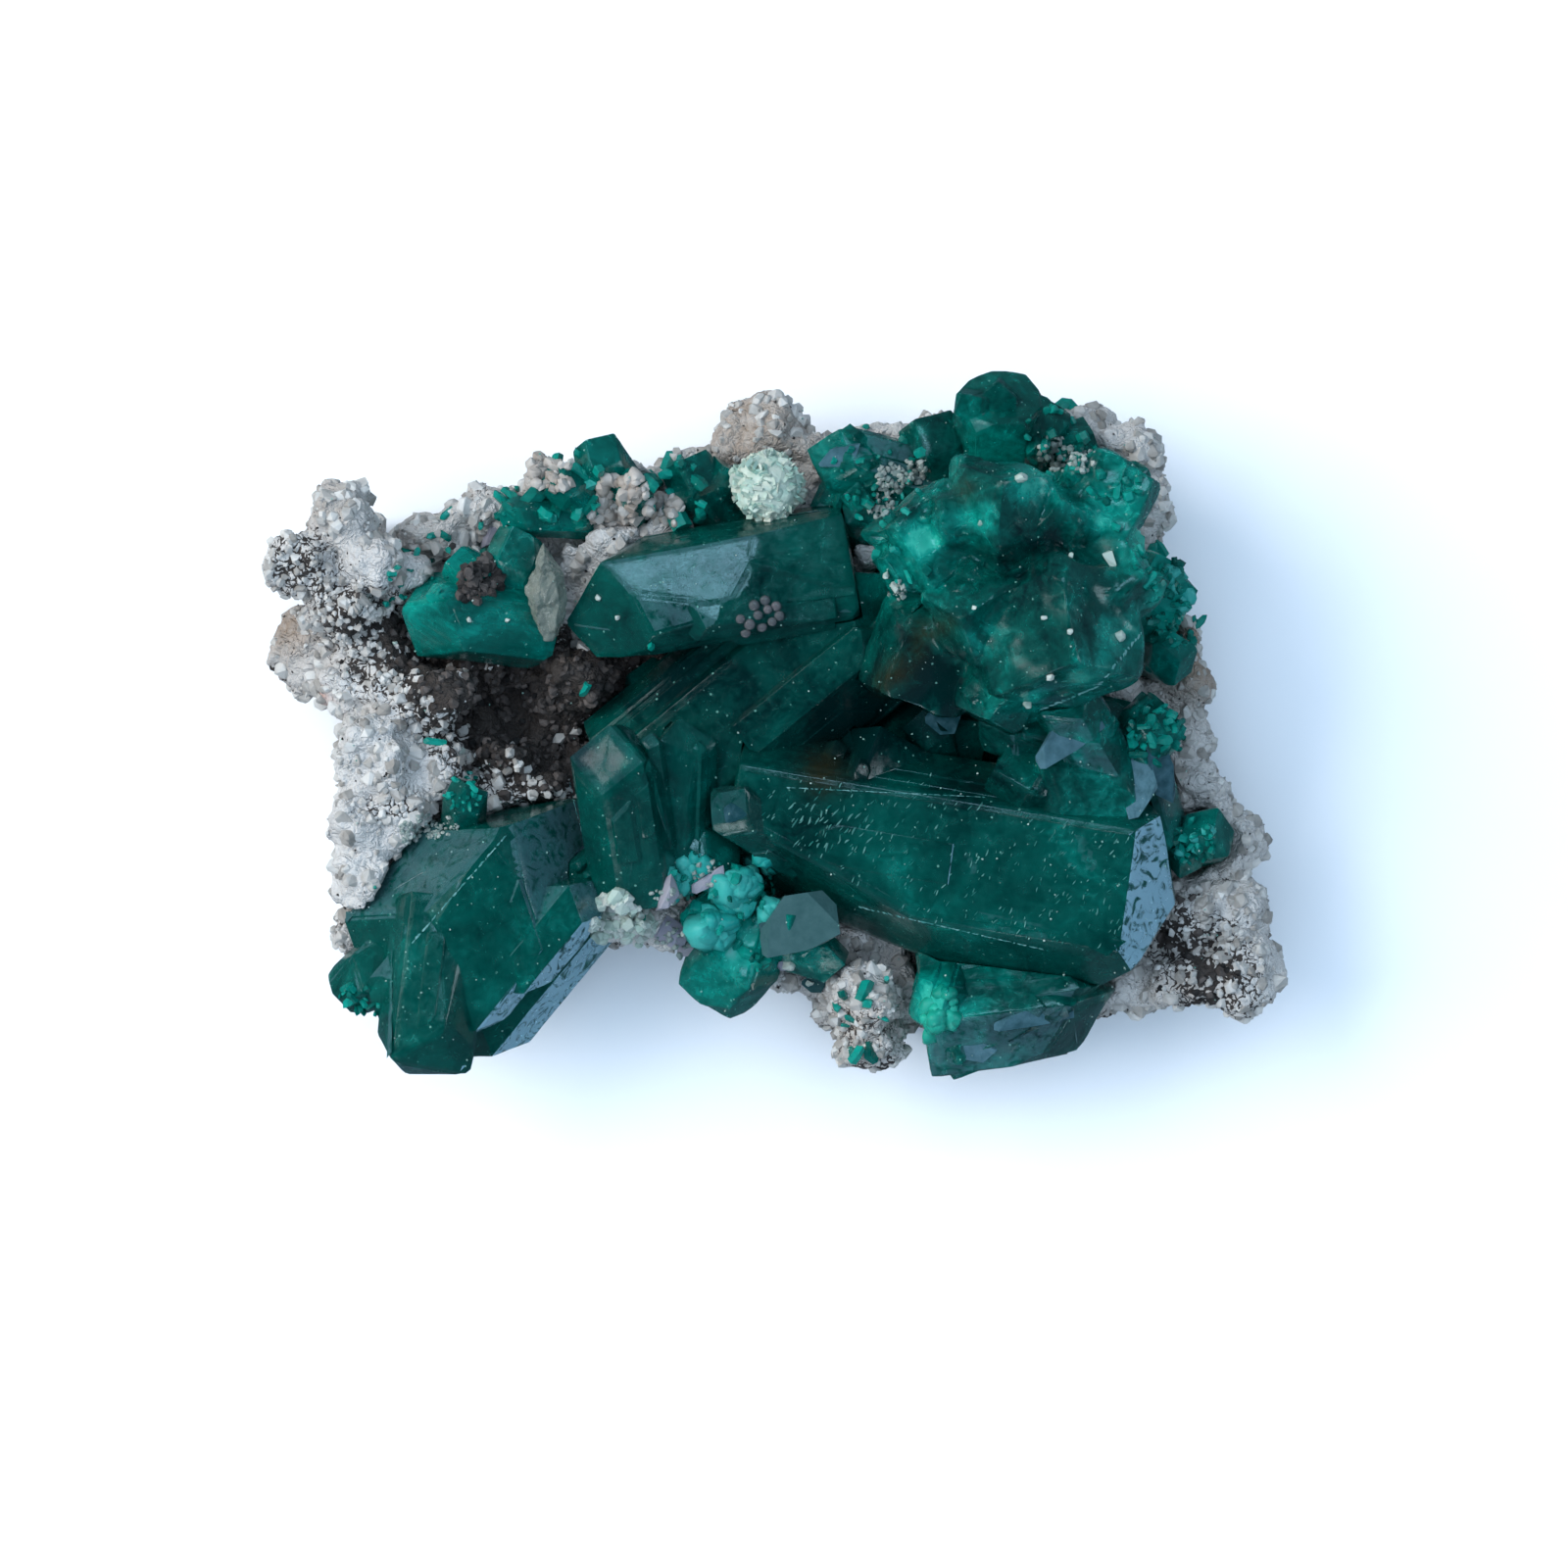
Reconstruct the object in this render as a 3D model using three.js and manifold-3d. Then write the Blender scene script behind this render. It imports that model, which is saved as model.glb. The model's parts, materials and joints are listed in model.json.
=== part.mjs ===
// A dioptase specimen: emerald-green crystals grown together on a pale, dark-speckled piece of host rock.
// Millimetres, +Z up. The rock rests on its cut underside at z = 0. Seen from above, +X is to the right.
import * as THREE from "three";
import { ConvexGeometry } from "three/addons/geometries/ConvexGeometry.js";
import { mergeVertices } from "three/addons/utils/BufferGeometryUtils.js";
import Module from "manifold-3d";

const wasm = await Module();
wasm.setup();

// Driving dimensions
const socketGap = 0.25; // clearance round a crystal where it sits in the rock or against its neighbour
const degrees = THREE.MathUtils.degToRad;
const faceLean = 51; // lean of a rhombohedron face from the crystal's long axis, in degrees
const prismTurn = degrees(60); // the prism has six sides
const coreScale = 0.92; // the solid core's outline, against the rock's
const coreHeight = 3.8;
const ringCount = 16; // boulders round the foot of the rock
const ringRadius = 2.3;
const ringHeight = 1.7; // of their centres
const ringInset = 0.3;
const stemFrom = 5.2; // a boulder whose underside is higher than this stands on a stem
const stemLean = 0.93; // a stem stands nearer the middle than its boulder
const cutHeight = 0; // the underside is cut flat here
const pointMerge = 0.02; // corners closer than this are one corner
const smallestStep = 0.12; // slivers thinner than this, left where boulders meet, are smoothed away

const dioptaseGreen = 0x0b5c48;
const turquoiseGreen = 0x14a07e;
const rockWhite = 0xcfc9c0;
const mintWhite = 0xa9cfba;
const calciteGrey = 0x9aa79c;

// A repeatable stream of numbers from 0 to 1.
function randomStream(seed) {
  let state = seed;
  return () => {
    state = (state * 1664525 + 1013904223) % 4294967296;
    return state / 4294967296;
  };
}

// A closed geometry as a solid that can be joined and cut.
function toSolid(geometry) {
  const bare = geometry.clone();
  bare.deleteAttribute("normal");
  bare.deleteAttribute("uv");
  const merged = mergeVertices(bare, 1e-4);
  return new wasm.Manifold(
    new wasm.Mesh({
      numProp: 3,
      vertProperties: new Float32Array(merged.attributes.position.array),
      triVerts: new Uint32Array(merged.index.array),
    }),
  );
}

function toMesh(solid, name, color, roughness) {
  const { vertProperties, triVerts } = solid.getMesh();
  const geometry = new THREE.BufferGeometry();
  geometry.setAttribute("position", new THREE.BufferAttribute(vertProperties, 3));
  geometry.setIndex(new THREE.BufferAttribute(triVerts, 1));
  const flat = geometry.toNonIndexed();
  flat.computeVertexNormals();
  const material = new THREE.MeshStandardMaterial({ color, roughness, metalness: 0, flatShading: true });
  const mesh = new THREE.Mesh(flat, material);
  mesh.name = name;
  return mesh;
}

const joined = (solids) => solids.reduce((whole, piece) => whole.add(piece));

// The body with the most volume, where a cut has left crumbs.
function largestBody(solid) {
  return solid.decompose().reduce((best, body) => (body.volume() > best.volume() ? body : best));
}

// The faces of one crystal, as outward normals and distances from the origin.
// A six-sided prism runs from root to tip and ends in the three leaning faces of a rhombohedron.
// width is across its side edges, depth across its upper and lower faces. roll turns it about its axis and
// turn moves the end faces round it. cap cuts the tip off square, doubled repeats the end at the root, and
// shave moves single prism faces inwards.
function crystalFaces(crystal) {
  const { root, tip, width, roll = 0, turn = 0, lean = faceLean, cap = 0, doubled = false, shave = {} } = crystal;
  const { depth = width * Math.cos(prismTurn / 2) } = crystal;
  const from = new THREE.Vector3(...root);
  const to = new THREE.Vector3(...tip);
  const along = to.clone().sub(from).normalize();
  const up = new THREE.Vector3(0, 0, 1).addScaledVector(along, -along.z).normalize();
  const side = along.clone().cross(up);
  const radial = (angle) => up.clone().multiplyScalar(Math.cos(angle)).addScaledVector(side, Math.sin(angle));
  const start = degrees(roll);
  const faces = [];
  for (let k = 0; k < 6; k++) {
    const normal = radial(start + k * prismTurn);
    const reach = k % 3 === 0 ? depth / 2 : (width / 2) * Math.cos(prismTurn / 2);
    faces.push({ normal, distance: normal.dot(from) + reach - (shave[k] ?? 0) });
  }
  for (let k = 0; k < 3; k++) {
    const outward = radial(start + degrees(turn) + (k * 2 + 0.5) * prismTurn);
    const normal = along.clone().multiplyScalar(Math.cos(degrees(lean)));
    normal.addScaledVector(outward, Math.sin(degrees(lean)));
    faces.push({ normal, distance: normal.dot(to) });
    if (doubled) faces.push({ normal: normal.clone().negate(), distance: -normal.dot(from) });
  }
  if (cap) faces.push({ normal: along, distance: along.dot(to) - cap });
  if (!doubled) faces.push({ normal: along.clone().negate(), distance: -along.dot(from) });
  return faces;
}

// The corners where three faces meet inside all the others, with every face moved out by grow.
function corners(faces, grow) {
  const found = [];
  const planes = faces.map(({ normal, distance }) => ({ normal, distance: distance + grow }));
  for (let a = 0; a < planes.length; a++)
    for (let b = a + 1; b < planes.length; b++)
      for (let c = b + 1; c < planes.length; c++) {
        const matrix = new THREE.Matrix3().set(
          ...planes[a].normal.toArray(),
          ...planes[b].normal.toArray(),
          ...planes[c].normal.toArray(),
        );
        if (Math.abs(matrix.determinant()) < 1e-6) continue;
        const point = new THREE.Vector3(planes[a].distance, planes[b].distance, planes[c].distance);
        point.applyMatrix3(matrix.invert());
        const inside = planes.every(({ normal, distance }) => normal.dot(point) < distance + 1e-6);
        if (inside && found.every((other) => other.distanceTo(point) > pointMerge)) found.push(point);
      }
  return found;
}

const crystalSolid = (crystal, grow = 0) => toSolid(new ConvexGeometry(corners(crystalFaces(crystal), grow)));

// A second crystal in parallel position, moved along its axis, sideways and up, and scaled in section.
function parallel(crystal, slide, sideways, lift, size) {
  const from = new THREE.Vector3(...crystal.root);
  const to = new THREE.Vector3(...crystal.tip);
  const along = to.clone().sub(from).normalize();
  const up = new THREE.Vector3(0, 0, 1).addScaledVector(along, -along.z).normalize();
  const shift = up.clone().multiplyScalar(lift);
  shift.addScaledVector(along.clone().cross(up), sideways);
  const depth = (crystal.depth ?? crystal.width * Math.cos(prismTurn / 2)) * size;
  return {
    ...crystal,
    root: from.clone().add(shift).toArray(),
    tip: to.clone().add(shift).addScaledVector(along, slide).toArray(),
    width: crystal.width * size,
    depth,
  };
}

// A boulder: the hull of points spread evenly round an ellipsoid and pushed in and out.
function boulder([x, y, z], [rx, ry, rz], random, points = 11) {
  const spiral = Math.PI * (3 - Math.sqrt(5));
  const cloud = [];
  for (let k = 0; k < points; k++) {
    const height = 1 - (2 * (k + 0.5)) / points;
    const ring = Math.sqrt(1 - height * height);
    const angle = k * spiral + random() * 0.5;
    const push = 0.92 + random() * 0.24;
    cloud.push(
      new THREE.Vector3(
        x + rx * ring * Math.cos(angle) * push,
        y + ry * ring * Math.sin(angle) * push,
        z + rz * height * push,
      ),
    );
  }
  return toSolid(new ConvexGeometry(cloud));
}

// Crystals, group by group: those that grew into each other are one solid.
const largeCrystal = { root: [-1.3, -3.0, 5.4], tip: [12.6, -5.3, 5.8], width: 6.4, depth: 4.5, roll: 2, turn: -32, lean: 36 };
const lowerRightCrystal = { root: [4.7, -8.9, 4.2], tip: [10.6, -8.2, 4.3], width: 4.3, roll: 37 };
const lowerLeftCrystal = { root: [-12.0, -9.6, 4.2], tip: [-5.9, -2.2, 4.8], width: 6.7, roll: 7, doubled: true, shave: { 2: 1.8 } };
const upperLeftCrystal = { root: [2.4, 4.8, 5.9], tip: [-6.5, 3.2, 6.1], width: 4.6, roll: 15, turn: 60, shave: { 4: 0.9 } };
const centreCrystal = { root: [-4.0, -2.3, 4.0], tip: [4.6, 4.7, 5.4], width: 5.4, depth: 4.2, roll: -8 };
const leaningCrystal = { root: [10.2, -4.2, 5.0], tip: [8.5, 1.2, 6.8], width: 5.0, roll: 7 };
const raisedFront = { root: [8.0, 4.6, 5.6], tip: [9.2, 1.9, 13.2], width: 5.6, roll: 12 };

const crystalGroups = {
  raised_cluster: [
    raisedFront,
    parallel(raisedFront, -1.6, 1.3, -0.9, 0.66),
    { root: [7.2, 4.4, 5.0], tip: [3.4, 1.0, 9.6], width: 4.2, roll: 4, turn: 60 },
    { root: [6.6, 5.0, 6.0], tip: [11.7, 7.6, 10.6], width: 3.4, roll: 18, turn: 60 },
    { root: [7.2, 4.8, 6.0], tip: [3.6, 6.2, 11.0], width: 4.0, roll: -14 },
    { root: [7.0, 4.6, 6.0], tip: [7.0, 7.5, 12.4], width: 3.6, roll: 24 },
    { root: [8.2, 4.4, 6.0], tip: [8.8, 6.9, 11.6], width: 2.4, roll: 0 },
    { root: [7.8, 4.2, 6.0], tip: [11.4, 4.6, 11.2], width: 3.4, roll: 6, turn: 60 },
    { root: [7.6, 4.2, 6.0], tip: [5.7, 3.2, 12.0], width: 3.4, roll: 40 },
    { root: [7.6, 3.4, 6.0], tip: [6.6, 0.1, 10.2], width: 2.7, roll: 20 },
  ],
  large_crystal: [
    largeCrystal,
    parallel(largeCrystal, -0.9, 0.5, -0.3, 0.86),
    { root: [0.9, -3.9, 5.6], tip: [-2.0, -2.1, 8.0], width: 1.9, roll: 20, turn: 60 },
    { root: [3.0, -3.0, 5.0], tip: [3.3, 0.0, 7.0], width: 3.4, roll: 12 },
  ],
  plate_crystals: [
    leaningCrystal,
    parallel(leaningCrystal, -0.6, 1.0, -0.5, 0.8),
    { root: [10.4, -1.6, 6.4], tip: [8.4, 1.6, 9.4], width: 2.2, roll: -20 },
    { root: [8.7, -1.8, 6.4], tip: [6.8, -1.3, 8.5], width: 2.2, roll: 10 },
    { root: [9.4, -0.4, 6.4], tip: [6.3, 0.2, 8.4], width: 2.2, roll: 24 },
    { root: [10.9, -1.4, 5.6], tip: [12.1, 0.7, 7.8], width: 1.9, roll: 8 },
  ],
  upright_crystals: [
    { root: [-4.2, -5.2, 6.0], tip: [-5.0, 0.1, 8.4], width: 2.9, roll: 4, turn: 60 },
    { root: [-3.1, -4.6, 5.5], tip: [-2.9, 0.3, 7.3], width: 2.1, roll: -12 },
    { root: [-4.2, -3.4, 4.8], tip: [-6.3, -5.3, 6.1], width: 1.8, roll: 12 },
    { root: [-4.2, -2.5, 5.4], tip: [-1.1, -4.7, 6.1], width: 2.0, roll: -8, turn: 60 },
  ],
  lower_left_crystals: [
    lowerLeftCrystal,
    parallel(lowerLeftCrystal, -2.0, -0.45, -0.1, 0.88),
    { root: [-10.3, -5.4, 5.8], tip: [-11.0, -11.5, 6.8], width: 3.1, roll: 8, turn: 60, cap: 0.9 },
    { root: [-11.6, -6.8, 4.4], tip: [-13.6, -8.8, 5.2], width: 2.2, roll: 20, cap: 0.3 },
    { root: [-9.7, -3.2, 5.0], tip: [-9.5, -1.8, 7.2], width: 1.4, roll: 10 },
  ],
  upper_left_crystal: [
    upperLeftCrystal,
    parallel(upperLeftCrystal, -2.4, 0.7, -0.2, 0.7),
  ],
  centre_crystal: [
    centreCrystal,
    parallel(centreCrystal, -1.4, -1.5, 0.2, 0.6),
  ],
  lower_right_crystals: [
    lowerRightCrystal,
    parallel(lowerRightCrystal, -1.2, -1.3, -0.1, 0.8),
    { root: [6.4, -8.0, 4.2], tip: [5.6, -11.0, 4.8], width: 2.6, roll: 14, turn: 60 },
    { root: [5.6, -7.4, 4.2], tip: [5.0, -9.4, 6.6], width: 2.2, roll: 30 },
  ],
  top_crystals: [
    { root: [7.0, 6.9, 4.0], tip: [7.0, 11.3, 7.9], width: 3.0, roll: 0, turn: 60, cap: 1.5 },
    { root: [7.4, 7.2, 4.0], tip: [8.5, 10.2, 7.1], width: 1.9, roll: 10, cap: 0.3 },
    { root: [7.8, 7.6, 4.0], tip: [9.9, 9.1, 6.6], width: 1.7, roll: 16 },
    { root: [6.4, 7.2, 4.2], tip: [1.0, 8.6, 6.0], width: 2.2, roll: 20, turn: 60 },
    { root: [6.6, 7.0, 4.0], tip: [4.3, 9.5, 6.5], width: 2.2, roll: 0 },
    { root: [5.6, 6.8, 3.8], tip: [1.0, 6.8, 5.6], width: 2.8, roll: 8 },
  ],
  left_crystals: [
    { root: [-7.2, 3.2, 4.4], tip: [-11.6, 3.7, 6.2], width: 3.0, roll: -18, turn: 60 },
    { root: [-7.6, 3.8, 4.2], tip: [-10.2, 5.1, 6.6], width: 1.5, roll: 14 },
    { root: [-8.0, 3.2, 3.8], tip: [-8.1, 6.2, 6.2], width: 2.0, roll: 0 },
  ],
  back_crystals: [
    { root: [-4.4, 6.7, 4.0], tip: [-5.9, 8.9, 6.2], width: 1.8, roll: 8 },
    { root: [-4.6, 6.4, 4.0], tip: [-8.6, 6.6, 5.9], width: 1.4, roll: -8, turn: 60 },
    { root: [-4.8, 6.4, 4.0], tip: [-6.9, 7.6, 6.6], width: 1.3, roll: 16 },
    { root: [-4.4, 6.5, 4.2], tip: [-4.3, 7.7, 6.8], width: 1.2, roll: 0 },
  ],
  back_crystal_right: [
    { root: [-1.6, 6.6, 3.8], tip: [-3.0, 8.2, 6.2], width: 1.9, roll: 10 },
    { root: [-1.8, 6.8, 3.8], tip: [-1.6, 8.1, 6.0], width: 1.3, roll: 0 },
  ],
  bottom_crystals: [
    { root: [-0.8, -5.6, 4.0], tip: [-1.8, -9.2, 5.0], width: 2.9, depth: 2.2, roll: 6, cap: 0.4 },
    { root: [-1.0, -5.2, 4.0], tip: [-2.6, -6.6, 6.3], width: 1.8, roll: 22 },
    { root: [-1.3, -5.8, 4.0], tip: [-1.0, -4.6, 7.0], width: 1.5, roll: 0 },
    { root: [0.6, -6.6, 3.8], tip: [0.5, -5.9, 7.0], width: 2.0, roll: 14 },
    { root: [0.0, -6.6, 3.8], tip: [2.2, -7.4, 5.4], width: 1.6, roll: 0 },
  ],
  right_edge_crystals: [
    { root: [11.5, 3.0, 3.6], tip: [12.4, 4.8, 6.6], width: 1.9, roll: 10 },
    { root: [11.7, 2.4, 3.6], tip: [12.6, 2.0, 6.6], width: 1.7, roll: 20 },
    { root: [11.5, 2.6, 3.6], tip: [11.9, 5.4, 6.4], width: 1.5, roll: 4 },
  ],
  right_small_crystal: [
    { root: [13.1, -3.6, 3.4], tip: [13.6, -3.3, 6.5], width: 1.8, roll: 10 },
    { root: [13.1, -3.6, 3.4], tip: [12.6, -4.2, 5.9], width: 1.3, roll: 0 },
  ],
};

// The rock's outline seen from above, which its body stays inside.
const rockOutline = [
  [-14.8, 5.5],
  [-13.6, 7.2],
  [-12.4, 5.5],
  [-10.6, 6.7],
  [-8.2, 7.6],
  [-7.0, 8.4],
  [-4.5, 8.2],
  [-2.7, 9.1],
  [-0.6, 10.0],
  [1.2, 9.4],
  [4.8, 9.4],
  [9.1, 10.0],
  [11.8, 9.0],
  [12.0, 5.5],
  [12.8, 3.7],
  [13.4, 1.2],
  [13.5, -1.4],
  [15.2, -2.8],
  [15.2, -7.8],
  [14.2, -8.7],
  [11.8, -8.6],
  [10.0, -8.8],
  [6.4, -9.6],
  [3.3, -10.4],
  [1.6, -9.4],
  [0.8, -7.8],
  [-3.0, -7.1],
  [-5.5, -6.2],
  [-7.0, -5.2],
  [-8.6, -6.6],
  [-11.2, -8.0],
  [-13.2, -7.2],
  [-13.8, -4.8],
  [-13.8, -1.2],
  [-13.8, 0.6],
  [-15.0, 1.5],
  [-15.2, 3.4],
];

// Boulders seen round the crystals: centre and radii.
const outerBoulders = [
  // Left side, from the top down
  [[-14.75, 5.1, 5.9], [1.15, 1.15, 1.15]],
  [[-13.9, 4.8, 5.2], [1.0, 1.0, 1.0]],
  [[-13.3, 6.5, 6.0], [1.2, 1.3, 1.3]],
  [[-12.5, 5.2, 6.2], [1.15, 1.1, 1.1]],
  [[-11.4, 4.6, 5.4], [0.8, 0.8, 0.9]],
  [[-13.4, 3.8, 5.3], [1.3, 1.3, 1.4]],
  [[-14.6, 2.4, 3.0], [1.3, 1.6, 1.5]],
  [[-12.4, 2.4, 4.2], [1.5, 1.4, 1.6]],
  [[-13.3, 1.1, 4.4], [1.2, 1.1, 1.2]],
  [[-11.6, 0.9, 5.0], [1.4, 1.3, 1.5]],
  [[-10.4, 0.8, 5.8], [1.5, 1.1, 1.3]],
  [[-12.4, -0.8, 5.4], [1.5, 1.5, 1.5]],
  [[-12.8, -2.8, 5.0], [1.3, 1.5, 1.4]],
  [[-11.6, -2.6, 5.2], [1.2, 1.4, 1.2]],
  [[-12.8, -4.8, 4.6], [1.2, 1.5, 1.4]],
  [[-12.9, -6.4, 3.4], [1.0, 1.1, 1.1]],
  [[-8.9, -0.9, 6.2], [1.2, 0.8, 0.9]],
  [[-10.6, -1.2, 4.8], [1.3, 1.2, 1.4]],
  [[-6.1, 1.5, 4.7], [1.3, 1.0, 1.1]],
  [[-8.0, 1.4, 3.2], [1.6, 1.4, 1.4]],
  // Far side
  [[-10.8, 6.0, 4.2], [1.4, 0.8, 1.0]],
  [[-9.0, 6.6, 4.4], [1.5, 0.9, 1.0]],
  [[-9.1, 4.8, 5.0], [1.0, 0.9, 0.9]],
  [[-7.0, 7.4, 4.6], [0.9, 1.0, 1.0]],
  [[-4.8, 7.6, 4.4], [1.3, 0.9, 1.1]],
  [[-3.0, 6.9, 4.9], [1.0, 1.0, 1.0]],
  [[-2.6, 7.9, 3.6], [1.2, 1.0, 1.2]],
  [[-0.5, 9.0, 3.8], [1.9, 1.3, 1.5]],
  [[1.4, 8.4, 3.8], [1.3, 0.9, 1.1]],
  [[3.4, 8.8, 4.2], [1.3, 0.8, 0.9]],
  [[5.2, 9.0, 4.0], [1.2, 0.8, 0.9]],
  // Right side
  [[9.6, 9.3, 4.4], [1.3, 0.9, 1.1]],
  [[11.2, 8.6, 4.9], [1.3, 1.0, 1.2]],
  [[11.4, 7.0, 4.4], [1.1, 1.2, 1.3]],
  [[11.3, 5.2, 4.0], [1.0, 1.3, 1.2]],
  [[12.3, 3.0, 3.6], [1.1, 1.2, 1.2]],
  [[12.7, 1.4, 3.4], [1.1, 1.3, 1.2]],
  [[12.6, -0.4, 3.4], [1.2, 1.3, 1.3]],
  [[13.4, -2.0, 3.6], [1.3, 1.2, 1.3]],
  [[14.3, -3.7, 3.9], [1.3, 1.3, 1.3]],
  [[14.4, -5.6, 4.1], [1.2, 1.4, 1.3]],
  [[14.5, -7.7, 4.4], [1.5, 1.35, 1.2]],
  [[12.7, -7.9, 4.2], [1.3, 1.0, 1.2]],
  [[11.4, -8.2, 3.4], [1.0, 0.9, 1.0]],
  [[13.0, -5.8, 3.8], [1.5, 1.4, 1.4]],
  // Near side
  [[2.8, -8.5, 4.6], [1.5, 1.3, 1.3]],
  [[3.1, -9.8, 4.2], [1.2, 1.1, 1.2]],
  [[2.6, -8.6, 2.8], [1.5, 1.3, 1.8]],
  [[-4.9, -5.9, 5.0], [1.1, 0.8, 1.0]],
  [[-3.4, -6.1, 4.2], [1.2, 0.9, 1.0]],
  [[0.2, -7.4, 3.6], [1.1, 0.8, 0.9]],
];

// Taller boulders under the crystals, which carry them.
const innerBoulders = [
  [[7.6, 5.2, 4.2], [3.8, 3.6, 3.0]],
  [[9.0, 1.0, 4.4], [3.2, 3.2, 2.6]],
  [[2.0, 5.4, 3.6], [3.4, 2.8, 2.4]],
  [[-4.2, 5.0, 3.6], [3.4, 2.6, 2.4]],
  [[-8.6, -3.8, 3.4], [3.0, 2.8, 2.4]],
  [[-3.8, -3.4, 3.6], [2.6, 2.4, 2.4]],
  [[4.0, -4.6, 3.2], [3.8, 2.8, 2.2]],
  [[9.4, -4.6, 3.4], [3.6, 2.6, 2.2]],
  [[-9.0, 3.4, 3.4], [2.4, 2.2, 2.2]],
];

// The rock's body is a solid core with a ring of boulders round its foot. The higher boulders stand on stems
// of rock that lean inwards. The whole is cut off flat below.
function rockSolid(random) {
  const outline = new THREE.Shape(rockOutline.map(([x, y]) => new THREE.Vector2(x, y)));
  const core = new THREE.Shape(rockOutline.map(([x, y]) => new THREE.Vector2(x * coreScale, y * coreScale)));
  const pieces = [toSolid(new THREE.ExtrudeGeometry(core, { depth: coreHeight, bevelEnabled: false }))];
  for (const point of outline.getSpacedPoints(ringCount).slice(1)) {
    const radius = ringRadius * (0.85 + random() * 0.35);
    const inward = 1 - (radius + ringInset) / point.length();
    const height = ringHeight * (0.8 + random() * 0.4);
    pieces.push(boulder([point.x * inward, point.y * inward, height], [radius, radius, ringHeight * 1.1], random, 9));
  }
  for (const [centre, radii] of innerBoulders) pieces.push(boulder(centre, radii, random, 12));
  for (const [[x, y, z], [rx, ry, rz]] of outerBoulders) {
    pieces.push(boulder([x, y, z], [rx, ry, rz], random));
    if (z - rz < stemFrom) continue;
    pieces.push(boulder([x * stemLean, y * stemLean, z * 0.55], [rx, ry, z * 0.42], random, 10));
  }
  const size = 80;
  const below = new THREE.BoxGeometry(size, size, size).translate(0, 0, cutHeight - size / 2);
  return joined(pieces).subtract(toSolid(below));
}

const specimen = new THREE.Group();
const random = randomStream(7);
const nodes = [];

// Each group is cut back from those already placed, so that neighbours meet across the gap.
let taken = null;
function place(name, solid, grown, color, roughness, slivers = pointMerge) {
  const cut = taken ? solid.subtract(taken) : solid;
  nodes.push(toMesh(largestBody(cut.simplify(slivers)), name, color, roughness));
  if (grown) taken = taken ? taken.add(grown) : grown;
}

const brightGroups = ["back_crystals", "bottom_crystals", "right_small_crystal", "left_crystals"];
for (const [name, crystals] of Object.entries(crystalGroups)) {
  const color = brightGroups.includes(name) ? turquoiseGreen : dioptaseGreen;
  const solid = joined(crystals.map((crystal) => crystalSolid(crystal)));
  const grown = joined(crystals.map((crystal) => crystalSolid(crystal, socketGap)));
  place(name, solid, grown, color, 0.15);
}

// The rosette is a knobbly ball, and the calcite a thin blade.
const rosetteCentre = [-0.2, 7.4, 6.0];
const rosetteRadius = 1.25;
const rosettePoints = 22;
const rosette = (radius) => boulder(rosetteCentre, [radius, radius, radius * 0.85], randomStream(3), rosettePoints);
place("rosette", rosette(rosetteRadius), rosette(rosetteRadius + socketGap * 1.3), mintWhite, 0.5);

const calciteBlade = { root: [-7.3, 2.9, 6.4], tip: [-6.7, 5.8, 8.0], width: 1.3, depth: 0.9, roll: 10 };
place("calcite_blade", crystalSolid(calciteBlade), crystalSolid(calciteBlade, socketGap), calciteGrey, 0.3);

place("matrix", rockSolid(random), null, rockWhite, 0.9, smallestStep);

for (const node of nodes) specimen.add(node);

// The origin is under the middle of the specimen, on the surface that it rests on.
const box = new THREE.Box3().setFromObject(specimen);
const centre = box.getCenter(new THREE.Vector3());
for (const node of nodes) node.position.set(-centre.x, -centre.y, -box.min.z);

export default specimen;
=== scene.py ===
import json
import math
import random

import bmesh
import bpy
import numpy as np
from mathutils import Matrix, Vector, noise

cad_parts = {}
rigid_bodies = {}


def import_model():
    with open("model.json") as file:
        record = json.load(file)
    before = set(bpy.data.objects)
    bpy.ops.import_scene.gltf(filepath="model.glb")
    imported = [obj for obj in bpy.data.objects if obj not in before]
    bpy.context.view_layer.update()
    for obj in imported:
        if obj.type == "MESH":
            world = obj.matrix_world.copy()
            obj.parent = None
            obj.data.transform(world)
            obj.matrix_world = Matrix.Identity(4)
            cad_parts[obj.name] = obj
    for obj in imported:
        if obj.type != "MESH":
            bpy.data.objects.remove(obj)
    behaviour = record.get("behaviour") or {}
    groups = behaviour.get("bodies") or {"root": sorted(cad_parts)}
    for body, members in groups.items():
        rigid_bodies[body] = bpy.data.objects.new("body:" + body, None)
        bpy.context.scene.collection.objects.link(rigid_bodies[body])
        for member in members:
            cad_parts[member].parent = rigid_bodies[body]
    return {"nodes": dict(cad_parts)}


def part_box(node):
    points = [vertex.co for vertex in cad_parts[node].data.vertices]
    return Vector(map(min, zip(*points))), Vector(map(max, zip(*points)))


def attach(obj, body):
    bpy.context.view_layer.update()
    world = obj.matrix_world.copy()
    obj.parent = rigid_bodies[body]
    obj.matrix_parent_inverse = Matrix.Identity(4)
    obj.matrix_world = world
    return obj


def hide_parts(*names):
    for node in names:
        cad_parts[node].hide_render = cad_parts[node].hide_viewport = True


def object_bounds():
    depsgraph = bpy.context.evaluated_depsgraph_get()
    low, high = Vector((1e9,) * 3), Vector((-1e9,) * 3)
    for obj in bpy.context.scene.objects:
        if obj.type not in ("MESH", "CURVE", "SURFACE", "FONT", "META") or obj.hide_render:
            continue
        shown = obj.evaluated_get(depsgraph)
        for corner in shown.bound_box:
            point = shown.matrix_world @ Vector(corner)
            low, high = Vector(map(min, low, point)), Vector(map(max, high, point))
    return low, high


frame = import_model()
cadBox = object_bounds()

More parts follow.
